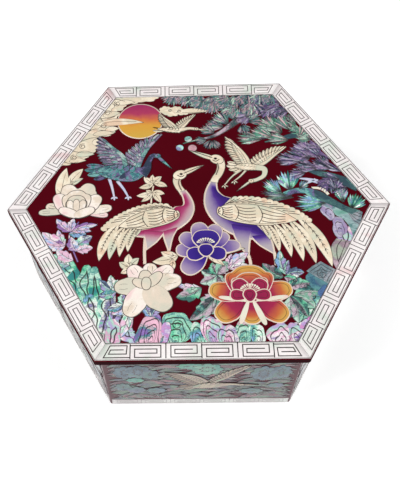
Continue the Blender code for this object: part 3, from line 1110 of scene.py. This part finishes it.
peonies = {
    "violet_peony": [
        ("violetPaint", 1.0, 3, [
            (4, -31, 231, 19, 8.0), (6, -30, 6, 17.5, 5.6), (5, -31, 42, 15.6, 6.0), (3, -31, 180, 15.4, 6.4),
            (3, -30, 145, 15.6, 6.6), (5, -30, 68, 16.6, 6.6), (4, -30, 104, 17.5, 7.2)]),
        ("violetPaint", 0.35, 3, [(4.4, -33, 186, 11, 6.0), (4.4, -33, 354, 11, 6.0),
                                  (4.4, -31, 90, 13.2, 10.4)]),
        ("violetPaint", 0.25, 3, [(4.2, -36, 90, 8.6, 5.8)])],
    "orange_peony": [
        ("firePaint", 1.0, 3, [
            (28, -62, 270, 16.5, 8), (25, -63, 219, 19.5, 8.8), (31, -63, 321, 20, 8.8),
            (26, -62, 166, 20.5, 8.0), (30, -62, 14, 21, 8.0)]),
        ("firePaint", 1.0, 5, [(28, -66, 90, 23, 16.5)]),
        ("firePaint", 0.8, 5, [(28, -64, 90, 16.5, 12.4)]),
        ("roseBare", 0.0, 1, [
            (27, -64, 250, 15, 1.9), (29, -64, 292, 16, 2.0), (26, -65, 170, 15, 1.5),
            (31, -65, 9, 17, 1.5)]),
        ("firePaint", 0.4, 3, [(26.6, -62, 122, 12, 6.2), (29.4, -62, 58, 12, 6.2)]),
        ("firePaint", 0.35, 2, [(27, -62, 174, 10, 4.8), (29, -62, 6, 10, 4.8)]),
        ("firePaint", 0.25, 3, [(27.6, -66, 90, 8.4, 5.0)])],
    "left_cream_peony": [
        ("creamPetal", 1.0, 1, [(-79, -3, 158, 13, 3.8), (-79, -2, 184, 16, 3.0), (-67, -3, 348, 13, 2.8),
                                (-66, -3, 12, 14, 3.6)]),
        ("creamPetal", 1.0, 4, [(-74, -1, 108, 18.6, 7.2), (-71, -1, 74, 19, 7.4)]),
        ("creamPetal", 1.0, 3, [(-76, -4, 126, 16.6, 5.8), (-70, -4, 50, 16, 5.8)]),
        ("creamPetal", 1.0, 5, [(-73, -3, 92, 15.4, 9.6)]),
        ("creamPetal", 1.0, 3, [(-73, -4, 92, 12.6, 7.2)]),
        ("creamPetal", 1.0, 1, [(-75.4, -4, 104, 9.4, 2.6), (-70.6, -4, 80, 9.4, 2.6),
                                (-73, -4, 92, 9.8, 2.4)]),
        ("creamPetal", 1.0, 2, [(-71, -6.4, 156, 13, 3.6), (-74.5, -6.4, 23, 13, 3.6)])],
    "front_cream_peony": [
        ("creamPetal", 1.0, 3, [
            (-28.5, -53, 88, 12.8, 5.6), (-31, -54, 124, 14.6, 6.0), (-27.5, -54, 46, 16, 6.0),
            (-30, -54, 184, 17.4, 6.6), (-30, -54, 10, 19, 6.6), (-31.4, -55, 244, 19.6, 7.2),
            (-31, -55, 314, 19, 8.0)]),
        ("creamPetal", 1.0, 3, [(-30, -54, 98, 9.4, 4.4), (-29.6, -55, 152, 9, 3.4),
                                (-30, -55, 48, 11.8, 3.8)]),
        ("creamPetal", 1.0, 2, [(-30.2, -57.4, 90, 8.2, 3.2)])],
}
stamens = {"violet_peony": (4.2, -27.6, 5.2), "orange_peony": (28, -59, 5.4)}  # (x, y, length)
shoulders = {"creamPetal": 0.8}  # how broad a petal's root is against its tip; 0.42 for the others
blossom = {"layer": 20, "step": 5, "foldLayer": 28, "foldLine": 0.2, "stamens": 9, "stamen": 0.5,
           "anther": 0.65}


def peony(name, plane, layers):
    pieces = {}
    for level, (finish, deepest, scallops, group) in enumerate(layers):
        slot = "tinted_shell" if "Paint" in finish else "pale_shell"
        if finish not in pieces:
            pieces[finish] = Piece(f"{name}_{finish.lower()}_petals", plane, finish, slot, blossom["layer"])
        x, y, turns, lengths, halves = np.array(group, float).T
        shape = petals(np.stack([x, y], -1), turns, lengths, halves, scallops, shoulders.get(finish, 0.42))
        tone = np.clip(shape["along"] * deepest, 0, 1)
        pieces[finish].add(shape, tone, layer=level * blossom["step"], spread=0.6)
    for piece in pieces.values():
        piece.build()
    if name in stamens:
        x, y, reach = stamens[name]
        top = blossom["layer"] + 2 + len(layers) * blossom["step"]
        crown = Piece(name + "_stamens", plane, "roseBare", "pale_shell", top)
        turns = np.radians(np.linspace(25, 155, blossom["stamens"]))
        heading = np.stack([np.cos(turns), np.sin(turns)], -1) * (1, 0.8)
        begin, end = (x, y) + heading * reach * 0.4, (x, y) + heading * reach
        crown.add(leaves(begin, end, blossom["stamen"], 0.0, 0.7, fine=True))
        crown.add(lobedDiscs(end, blossom["anther"], blossom["anther"], around=10), layer=1)
        crown.build()
    else:
        # two engraved folds near the tip of each petal
        folds = Piece(name + "_folds", plane, "ink", "pale_shell", blossom["foldLayer"])
        for x, y, turn, length, half in sum((layer[3] for layer in layers[:4]), []):
            fold = np.array([(0.62, 0.22), (0.76, 0.26), (0.9, 0.2)]) * (length, half)
            strokes(folds, [turned(fold * (1, hand), turn) + (x, y) for hand in (1, -1)], blossom["foldLine"])
        folds.build()


for name, layers in peonies.items():
    peony(name, fieldPlane, layers)
print("peonies done")


# Leaves: name: (finish, slot, clusters), a cluster is (centre, [(tip x, tip y, half width)])

leafClusters = {
    "green_leaves": ("leafShell", "blue_shell", [
        ((10, -48), [(1, -44.6, 3.4), (0, -53, 3.8), (7.5, -39.6, 3.0), (16.6, -39.4, 4.4), (13, -55, 2.6)]),
        ((1, -56), [(-13.5, -62, 4.8)]),
        ((9.5, -60), [(-1.5, -70, 5.4), (6, -73, 4.0), (-6.5, -76.5, 4.6)]),
        ((47.5, -50), [(36, -40.6, 4.0), (40, -48, 1.6), (55.6, -54, 2.8)]),
        ((50, -57), [(62, -54, 4.2), (55, -51.5, 2.6)]), ((52, -62), [(67, -60, 4.4), (63, -70, 5.0)]),
        ((50, -62), [(47.5, -76, 4.0), (53, -79, 5.2), (58.5, -75, 4.2)])]),
    "pink_leaves": ("pinkShell", "blue_shell", [
        ((17, -44.5), [(28.6, -33.4, 4.0), (19, -34, 2.6), (28, -41.5, 2.4)]),
        ((1, -56), [(-13.5, -53.5, 2.6)]), ((-40, -66), [(-44, -86.5, 3.6), (-49.5, -72, 3.0)]),
        ((-75, -17), [(-84.6, -7.6, 3.2), (-74, -7.4, 2.8), (-59.6, -12.4, 3.0), (-63, -17, 2.4)]),
        ((-71, -31), [(-61.6, -28.6, 3.4), (-75, -20.6, 3.6)]),
        ((-78, -27), [(-83, -15.4, 2.8), (-92.5, -17, 4.4), (-88.5, -26, 3.6)]),
        ((-72.5, -37), [(-83, -29.4, 3.8)])]),
    "blue_leaves": ("blueShell", "blue_shell", [
        ((49, -48.5), [(46.8, -32, 3.4), (51.4, -38.6, 2.2), (59.4, -47, 3.6)]),
        ((-76.5, -19), [(-66, -19, 3.2)]), ((-72, -29), [(-62.4, -20.4, 4.2)]),
        ((-74.5, -40), [(-82, -36, 3.2)]),
        ((-47, -58), [(-57, -50, 3.4), (-50.6, -47, 3.2), (-46.4, -50, 2.4), (-57, -60, 3.2)]),
        ((-43, -66), [(-43, -59, 2.8), (-39.6, -81, 3.0), (-52, -69, 3.0)]),
        ((-27, -74), [(-31, -66, 2.6), (-22, -67, 2.8)])]),
    "cream_leaves": ("cream", "pale_shell", [
        ((-39.5, -42), [(-46, -38.5, 2.6), (-40.5, -33, 2.8), (-34.5, -36, 2.4), (-45, -46, 2.2)]),
        ((-12, -35), [(-27, -38.6, 3.4), (-22, -32, 2.8)]), ((-15, -37), [(-17, -46, 2.0)]),
        ((-81, 4), [(-81, 31, 4.4)]), ((-79, 16), [(-70.5, 30, 3.4), (-70, 22.5, 2.0)]),
        ((9, -35), [(27, -30.5, 2.4)]), ((5, -36), [(14.5, -42, 2.0)]),
        ((-26.5, 17.5), [(-32.5, 22.8, 2.3), (-27, 24.4, 2.0), (-21.4, 22.8, 2.3), (-35.5, 14.4, 2.2),
                         (-18, 15, 2.2)]),
        ((-27.4, 10.5), [(-37, 8.4, 2.2), (-34, 3.8, 1.9), (-19.6, 9.4, 2.2), (-22, 2.6, 2.2),
                         (-31, 12.6, 1.6)])]),
}
leafCut = {"bend": 0.07, "teeth": 3, "stem": 0.7}
stems = [("cream", [(-28, 0.5), (-27.6, 8), (-26.6, 16)]),
         ("pinkShell", [(-70, -38), (-74, -28), (-76, -19), (-71, -10)])]


def makeLeaves():
    lines = Piece("leaf_lines", fieldPlane, "ink", "pale_shell", 20)
    for number, (finish, path) in enumerate(stems, 1):
        stem = Piece(f"stem_{number}", fieldPlane, finish, "pale_shell", 2)
        stem.add(blades(curve(path, 24), leafCut["stem"])).build()
    for name, (finish, slot, clusters) in leafClusters.items():
        bases = np.array([centre for centre, tips in clusters for tip in tips], float)
        tips = np.array([tip for centre, group in clusters for tip in group], float)
        pale = finish == "cream"
        teeth = 0 if pale else leafCut["teeth"]
        shape = leaves(bases, tips[:, :2], tips[:, 2], leafCut["bend"], 0.46, 26, teeth=teeth)
        Piece(name, fieldPlane, finish, slot, 10).add(shape, spread=0.25, halved=0 if pale else 0.5).build()
        veins(lines, bases, tips[:, :2], leafCut["bend"], 1 if pale else 2)
    lines.build()


makeLeaves()


# Pines: boughs of needle fans (x, y, radius, direction, half spread), limbs, bark plates, knots and fruits

pines = {
    "top_pine": ("darkNeedles", [
        (-12, 93, 13, 240, 50), (-4, 92, 13, 262, 50), (4, 93, 15, 240, 50), (12, 90, 14, 268, 50),
        (20, 93, 16, 250, 50), (28, 91, 14, 275, 50), (36, 93, 15, 250, 50), (44, 92, 14, 268, 50),
        (52, 92, 13, 250, 50), (13, 84, 12, 235, 55), (26, 82, 13, 225, 55), (30, 78, 13, 200, 45),
        (38, 84, 14, 270, 55), (24, 88, 12, 225, 50), (6, 86, 11, 225, 50)]),
    "top_violet_pine": ("violetNeedles", [
        (58, 84, 16, 200, 34), (58, 80, 16, 222, 34), (50, 78, 12, 215, 45), (44, 80, 11, 200, 45),
        (36, 72, 11, 215, 40), (56, 86, 11, 160, 45), (46, 88, 12, 215, 50), (62, 76, 12, 196, 40)]),
    "upper_bough": ("greenNeedles", [
        (43, 51, 17, 172, 26), (50, 52, 17, 150, 32), (56, 55, 17, 130, 34), (61, 58, 16, 114, 36),
        (66, 60, 15, 102, 38), (52, 60, 14, 140, 40), (60, 50, 15, 170, 28), (70, 55, 13, 130, 45),
        (74, 50, 11, 150, 45), (66, 52, 11, 60, 45)]),
    "middle_bough": ("violetNeedles", [
        (66, 33, 17, 170, 26), (72, 34, 17, 150, 32), (79, 35, 17, 132, 34), (85, 33, 15, 116, 38),
        (72, 40, 13, 142, 42), (76, 27, 16, 166, 28), (84, 26, 15, 144, 36), (90, 24, 13, 124, 42),
        (80, 42, 12, 130, 45), (88, 18, 13, 176, 36), (82, 20, 13, 246, 45), (92, 12, 12, 196, 45),
        (84, 10, 10, 100, 50), (68, 24, 12, 190, 30)]),
    "lower_bough": ("brightNeedles", [
        (56.5, 9.6, 17, 94, 34), (52, 7, 16.5, 130, 24), (59, 6, 21, 170, 9), (60, 5.4, 22, 184, 7),
        (50, 4.6, 12, 200, 14), (62, 11, 9, 52, 26), (78.5, 0.2, 20.5, 176, 27), (87.5, 0, 13.5, 94, 26),
        (91, -4.5, 14, 56, 34)]),
    "teal_branch": ("darkNeedles", [
        (19, 62, 13, 162, 36), (22, 64, 14, 132, 36), (27, 67, 13, 100, 40), (13, 57, 11, 150, 36),
        (10, 52, 9, 250, 32), (11, 52, 9, 292, 28), (8, 52, 9, 190, 30), (33, 69, 12, 60, 45),
        (34, 66, 10, 20, 40), (30, 64, 9, 290, 45)]),
}
limbs = [  # (path, half widths, finish)
    ([(80, 52), (72, 55), (63, 54), (53, 51), (44, 49)], [3.6, 3.2, 2.4, 1.6, 0.6], "darkBark"),
    ([(98, 12), (89, 17.6), (81, 21.4), (73, 24), (66, 27.5)], [3.6, 3.4, 2.8, 1.8, 0.6], "darkBark"),
    ([(40, 76), (33, 71), (27, 67), (18, 59), (10, 54), (2, 52), (-8, 49)],
     [2.4, 2.8, 2.6, 1.7, 1.3, 0.8, 0.5], "leafShell"),
    ([(74, 17), (67, 19), (61, 19.8)], [1.8, 1.1, 0.3], "blueBare"),
    ([(73, 18.4), (68.6, 16.6), (65.2, 13.2)], [1.4, 0.9, 0.3], "blueBare"),
]
barkPlates = [  # (one edge, the other edge, finish), the lowest first
    ([(79.6, -18), (80.2, -23), (81.6, -27)], [(90, -16), (91, -22), (89, -30)], "pinkContour"),
    ([(80, -24.4), (76.8, -29), (75.8, -35), (76.2, -41), (78, -46)],
     [(89, -27), (87, -32), (84.6, -37), (82.6, -41), (81, -46)], "greyBark"),
    ([(77.5, 0.6), (79.6, -4), (81.5, -8), (86, -11.6), (88.6, -17), (90, -24)],
     [(85, 1), (90, -3.4), (92, -8), (94, -13), (97, -17), (96, -24)], "barkContour"),
    ([(88, -2), (93, -3.6), (98, -6)], [(89.6, -8), (91.6, -14), (95, -17)], "slateContour"),
    ([(69.5, 11.8), (75, 9.6), (80, 5.6), (85, 1.6), (90, -2), (97, -5)],
     [(69.5, 5.2), (73.5, 2.6), (77, 0.2), (81, -1.8), (86, -5), (91, -8)], "darkBark"),
    ([(52, 9.4), (57, 11.6), (62, 12.6), (67, 12.4), (71, 11.6)],
     [(54, 5.6), (58.5, 7.8), (63, 8.2), (67, 7.2), (71, 5)], "bodyShell"),
    ([(69.6, 13), (74, 12.8), (77.6, 11.2), (80, 7.6)], [(70.4, 11.6), (74, 11), (76.6, 9.4), (78.6, 6.6)],
     "roseBare"),
]
knots = [(77.4, -5.4, 3.8, 6.2, 27), (82.9, -16.4, 4.0, 8.2, 4)]  # (x, y, half width, half height, turn)
needleCounts = {"lower_bough": 10}  # needles in a fan; 12 in the others
fruits = [  # (x, y, radius, finish)
    (-4.5, 52.5, 2.5, "wingShell"), (-10, 45.5, 2.5, "brightNeedles"), (-2, 45, 3.0, "fruitShell"),
    (29.5, 59, 2.2, "fruitShell"),
]


def makePines():
    for name, (finish, fans) in pines.items():
        piece = Piece(name, fieldPlane, finish, "blue_shell", 12)
        needleFans(piece, fans, needleCounts.get(name, 12))
        piece.build()
    for number, (path, halves, finish) in enumerate(limbs, 1):
        widths = np.interp(np.linspace(0, 1, 30), np.linspace(0, 1, len(halves)), halves)
        limb = Piece(f"limb_{number}", fieldPlane, finish, "blue_shell", 2)
        limb.add(blades(curve(path, 30), widths)).build()
    for number, (first, second, finish) in enumerate(barkPlates, 1):
        plate = between(curve(first, 30), curve(second, 30))
        Piece(f"bark_{number}", fieldPlane, finish, "blue_shell", 2 + number).add(plate).build()
    eyes = Piece("bark_knots", fieldPlane, "knotContour", "blue_shell", 14)
    for number, (x, y, wide, high, turn) in enumerate(knots):
        eyes.add(pebbles([(x, y)], wide, [high], number, turn))
    eyes.build()
    for number, (x, y, radius, finish) in enumerate(fruits, 1):
        shape = lobedDiscs([(x, y)], radius, radius, around=24)
        Piece(f"fruit_{number}", fieldPlane, finish, "blue_shell", 6).add(shape).build()


makePines()
print("leaves and pines done")


# Rocks: swaying tongues (x, y, direction, length, half width) and stones (x, y, half width, half height),
# both engraved with nested contours

rocks = {
    "green_rocks": ("greenContour", [
        (-80, -50, 108, 18, 4.2), (-67, -64, 108, 29, 5.4), (-62, -70, 97, 30, 5.0), (-56, -72, 99, 31, 4.4),
        (-54, -92, 104, 19, 4.8), (7, -92, 100, 13, 5.2), (22, -92, 78, 16, 5.0)],
        [(-14, -82, 8.6, 12.4), (22, -85, 5.6, 8.4)]),
    "blue_rocks": ("blueContour", [
        (-75, -46, 118, 14, 3.8), (-58, -82, 100, 23, 4.8), (-53, -84, 84, 27, 5.2), (-47, -84, 88, 18, 3.4),
        (29, -92, 100, 12, 4.0), (62, -72, 70, 14, 6.0), (60, -80, 62, 15, 5.4)],
        [(-1.5, -87, 5.6, 8.4), (30.5, -86, 4.2, 8)]),
    "pink_rocks": ("pinkContour", [
        (-47, -92, 98, 17, 4.4), (-35, -92, 116, 15, 4.0), (2, -92, 66, 17, 4.8), (50, -92, 80, 14, 5.2)],
        [(6, -83, 6.6, 9.6), (14, -87, 6.2, 9), (43, -86, 6.8, 8.6), (52, -86, 6, 7)]),
    "violet_rocks": ("violetContour", [
        (-22, -92, 78, 15, 3.4), (56, -88, 66, 14, 5.2)],
        [(-28, -84, 8.4, 10.6)]),
    "slate_rocks": ("blueSlab", [(71, -62, 128, 17, 4.6), (74, -58, 132, 12, 3.6)], [(70, -60, 4, 5)]),
}
peak = {
    "corners": [(65, -49.8), (69, -52.6), (72.4, -55), (76, -49), (77.6, -45.6), (73, -42.4), (69.3, -39.7),
                (64, -43), (60.4, -46.2)],
    "centre": (69, -48.6),
}
rockCurls = [(-13, -79), (69, -48.6)]


def makeRocks():
    draws = np.random.default_rng(inlay["seed"])
    for level, (name, (finish, group, rounds)) in enumerate(rocks.items()):
        x, y, turns, lengths, halves = np.array(group, float).T
        stones = Piece(name, fieldPlane, finish, "blue_shell", 1 + level * 3)
        sway = draws.uniform(0.5, 1.7, len(group))
        stones.add(tongues(np.stack([x, y], -1), turns, lengths, halves, sway), spread=0.4)
        x, y, wide, high = np.array(rounds, float).T
        stones.add(pebbles(np.stack([x, y], -1), wide, high, draws.uniform(0, 6, len(rounds))), layer=4,
                   spread=0.4)
        stones.build()
    crag = Piece("slate_peak", fieldPlane, "slateContour", "blue_shell", 20)
    crag.add(facets(peak["corners"], peak["centre"])).build()
    lines = Piece("rock_curls", fieldPlane, "ink", "pale_shell", 28)
    spirals(lines, rockCurls, 3.2)
    lines.build()


makeRocks()
print("rocks done")


# Sides: drifts and clouds of shell darkened with painted shade round one pale crane, over a foot band

sideBird = {
    "finish": "sideCream", "slot": "pale_shell", "feather": 1.5,
    "upper": [(-6, 29), (1, 33.6), (9, 35), (16, 33.2)],
    "lower": [(-6, 27), (1, 25.4), (9, 26.4), (16, 29.4)],
    "neck": [(12, 31.4), (18, 32), (24, 31)], "neckHalves": [2.2, 1.4, 1.3],
    "beak": ((24, 31), (34, 30.4), 0.8),
    "wings": [([(4, 35.5), (-2, 43), (-10, 47), (-20.5, 49.4)],
               [(-6, 29), (-11, 34), (-16, 40.4), (-20.5, 48.4)]),
              ([(7, 34.6), (14, 41), (20, 48.6), (27.4, 58)],
               [(5, 38.4), (9, 45), (17, 52.4), (26.6, 58.8)])],
    "tail": [((-3, 30), (-13, 29)), ((-3, 29), (-14, 26.2)), ((-2, 28), (-10, 23.4))],
    "legs": [],
}
sides = {
    "halfWidth": 53.6,
    "rows": 17,  # rows of drifting blades
    "blades": 7,  # in each row
    "drift": 12.0,  # half length of a blade
    "slope": 20,  # degrees that the flow turns up or down
    "hillRings": (1.0, 0.72),
    # clouds are (x, y, half width, half height)
    "clouds": [(-43.5, 49.6, 6.4, 8.8), (-35.5, 50.6, 7.6, 9), (-29, 46.8, 5.4, 6.6), (35.6, 46.8, 7.4, 10),
               (45.2, 48.6, 6, 9.4), (-45.6, 28, 5, 6), (-38, 23.4, 5.6, 5.2), (-26, 22.4, 6, 4.4),
               (30, 20.6, 7, 4.2), (44, 29, 5, 3.8)],
    "greenClouds": [(3.5, 53.4, 8.8, 8), (-38, 38.4, 5.4, 3.6), (-6, 58, 8, 4)],
    "hills": [(34, 12, 18), (22, 8, 15), (44, 8, 15), (-36, 6, 14), (-16, 8, 11)],  # (x, y, radius)
}


def makeSide(number, plane):
    name = "front" if number == 0 else f"side_{number}"
    plate = Piece(name + "_foot_band", plane, "footBand", "pale_shell")
    lines = Piece(name + "_foot_fret", plane, "footInk", "pale_shell", 10)
    half = wallFlats / math.sqrt(3) / 2 - footBand["ends"]
    keyRun(plate, lines, footBand, footBand["low"], footBand["high"], lambda y: y * 0 + half,
           half * 2 / footBand["units"])
    plate.build()
    lines.build()

    reach, rows, drift, count = sides["halfWidth"], sides["rows"], sides["drift"], sides["blades"]
    foot = footBand["high"]
    waters = [Piece(f"{name}_{word}_drifts", plane, finish, "blue_shell", level)
              for level, (word, finish) in enumerate((("grey", "sideShell"), ("rose", "sideRose")))]
    draws = np.random.default_rng(inlay["seed"] + number)
    for row in range(rows):
        # blades that follow a flow which turns as a sine of x and of the row, and levels out under the lid
        x = np.linspace(-reach + drift * 0.8, reach - drift * 0.8, count) + draws.uniform(-3, 3, count)
        y = foot + 1.4 + (wallTop - foot - 5.4) * row / (rows - 1) + draws.uniform(-0.8, 0.8, count)
        slope = np.radians(sides["slope"]) * np.sin(x / 15 + row * 0.8 + number)
        slope = slope * np.minimum(1, (wallTop - 4 - y) / 12)
        along = np.stack([np.cos(slope), np.sin(slope)], -1) * drift * draws.uniform(0.6, 1.0, (count, 1))
        spots = np.clip(np.stack([x, y], -1), (-reach, foot + 1.0), (reach, wallTop - 3))
        low, high = (-reach, foot + 0.8), (reach, wallTop - 2.6)
        begin, end = np.clip(spots - along, low, high), np.clip(spots + along, low, high)
        shape = leaves(begin, end, draws.uniform(2.0, 3.2, count), 0.1, 0.45, 14)
        waters[row % 3 == 1].add(shape, layer=row % 4, spread=0.3)
    for x, y, radius in sides["hills"]:
        for ring in sides["hillRings"]:
            path = arc((x, y), radius * ring, 25, 155, 30)
            path = path[(np.abs(path[:, 0]) < reach) & (path[:, 1] > foot + 1.5)]
            waters[ring < 1].add(blades(path, 1.0), layer=7)
    for water in waters:
        water.build()

    for word, finish, key in (("clouds", "sideContour", "clouds"),
                              ("green_clouds", "sideGreen", "greenClouds")):
        lumps = np.array(sides[key], float)
        sky = Piece(f"{name}_{word}", plane, finish, "blue_shell", 9)
        sky.add(lobedDiscs(lumps[:, :2], lumps[:, 2], lumps[:, 3], 8, 0.2), spread=0.6).build()
    if number % 2 == 0:
        flyingCrane(name + "_crane", plane, sideBird, 16, "footInk")


for number, plane in enumerate(sidePlanes):
    makeSide(number, plane)
print("sides done")


# Finishes of the CAD pieces

for node, key in (("lid", "lid"), ("body_walls", "walls"), ("base_board", "inside"), ("lid_rim", "inside")):
    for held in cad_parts[node].material_slots:
        held.material = finishes[key]


# Floor, light and camera, in metres

studio = {
    "floor": 3.0,
    "floorDrop": 0.0002,  # how far the floor lies under the box's foot
    "floorColour": (0.92, 0.92, 0.92),
    "floorGlow": 0.3,
    "world": 0.3,
    "aim": 0.04,  # height on the box's axis that the panels face
    # each soft panel is (place, size, watts); they stand aside so that the lid mirrors none of them
    "panels": [((-0.9, -0.2, 0.85), 0.8, 10.0), ((0.9, -0.2, 0.85), 0.8, 9.0), ((0.0, -1.2, 0.5), 0.8, 2.5)],
}


def makeFloor():
    mesh = bpy.data.meshes.new("floor")
    size, low = studio["floor"], -studio["floorDrop"]
    corners = [(-size, -size, low), (size, -size, low), (size, size, low), (-size, size, low)]
    mesh.from_pydata(corners, [], [(0, 1, 2, 3)])
    f = Finish("pale_floor", studio["floorColour"], 0.8)
    f.put(f.shader, {"Emission Color": (1, 1, 1, 1), "Emission Strength": studio["floorGlow"]})
    mesh.materials.append(f.material)
    floor = bpy.data.objects.new("floor", mesh)
    bpy.context.scene.collection.objects.link(floor)


def makeLights():
    world = bpy.data.worlds.new("studio")
    world.use_nodes = True
    world.node_tree.nodes["Background"].inputs["Color"].default_value = (1, 1, 1, 1)
    world.node_tree.nodes["Background"].inputs["Strength"].default_value = studio["world"]
    bpy.context.scene.world = world
    for number, (place, size, watts) in enumerate(studio["panels"], 1):
        lamp = bpy.data.lights.new(f"soft panel {number}", "AREA")
        lamp.energy, lamp.size = watts, size
        panel = bpy.data.objects.new(f"soft panel {number}", lamp)
        towards = Vector((0, 0, studio["aim"])) - Vector(place)
        panel.matrix_world = Matrix.Translation(place) @ towards.to_track_quat("-Z", "Y").to_matrix().to_4x4()
        bpy.context.scene.collection.objects.link(panel)
    bpy.context.scene.view_settings.view_transform = "Standard"


camera = {
    "place": (-0.0111, -0.2596, 0.4445),
    "turn": 3.04, "tilt": 32.09, "roll": -3.44,  # degrees
    "lens": 53.74,  # in millimetres, as is the sensor
    "sensor": 36.0,
    "shift": (0.083, -0.005),
}


def makeCamera():
    lens = bpy.data.cameras.new("camera")
    lens.lens, lens.sensor_width, lens.sensor_fit = camera["lens"], camera["sensor"], "AUTO"
    lens.shift_x, lens.shift_y = camera["shift"]
    holder = bpy.data.objects.new("camera", lens)
    turn = Matrix.Rotation(math.radians(camera["turn"]), 4, "Z")
    tilt = Matrix.Rotation(math.radians(camera["tilt"]), 4, "X")
    roll = Matrix.Rotation(math.radians(camera["roll"]), 4, "Z")
    holder.matrix_world = Matrix.Translation(camera["place"]) @ turn @ tilt @ roll
    bpy.context.scene.collection.objects.link(holder)
    bpy.context.scene.camera = holder


makeFloor()
makeLights()
makeCamera()
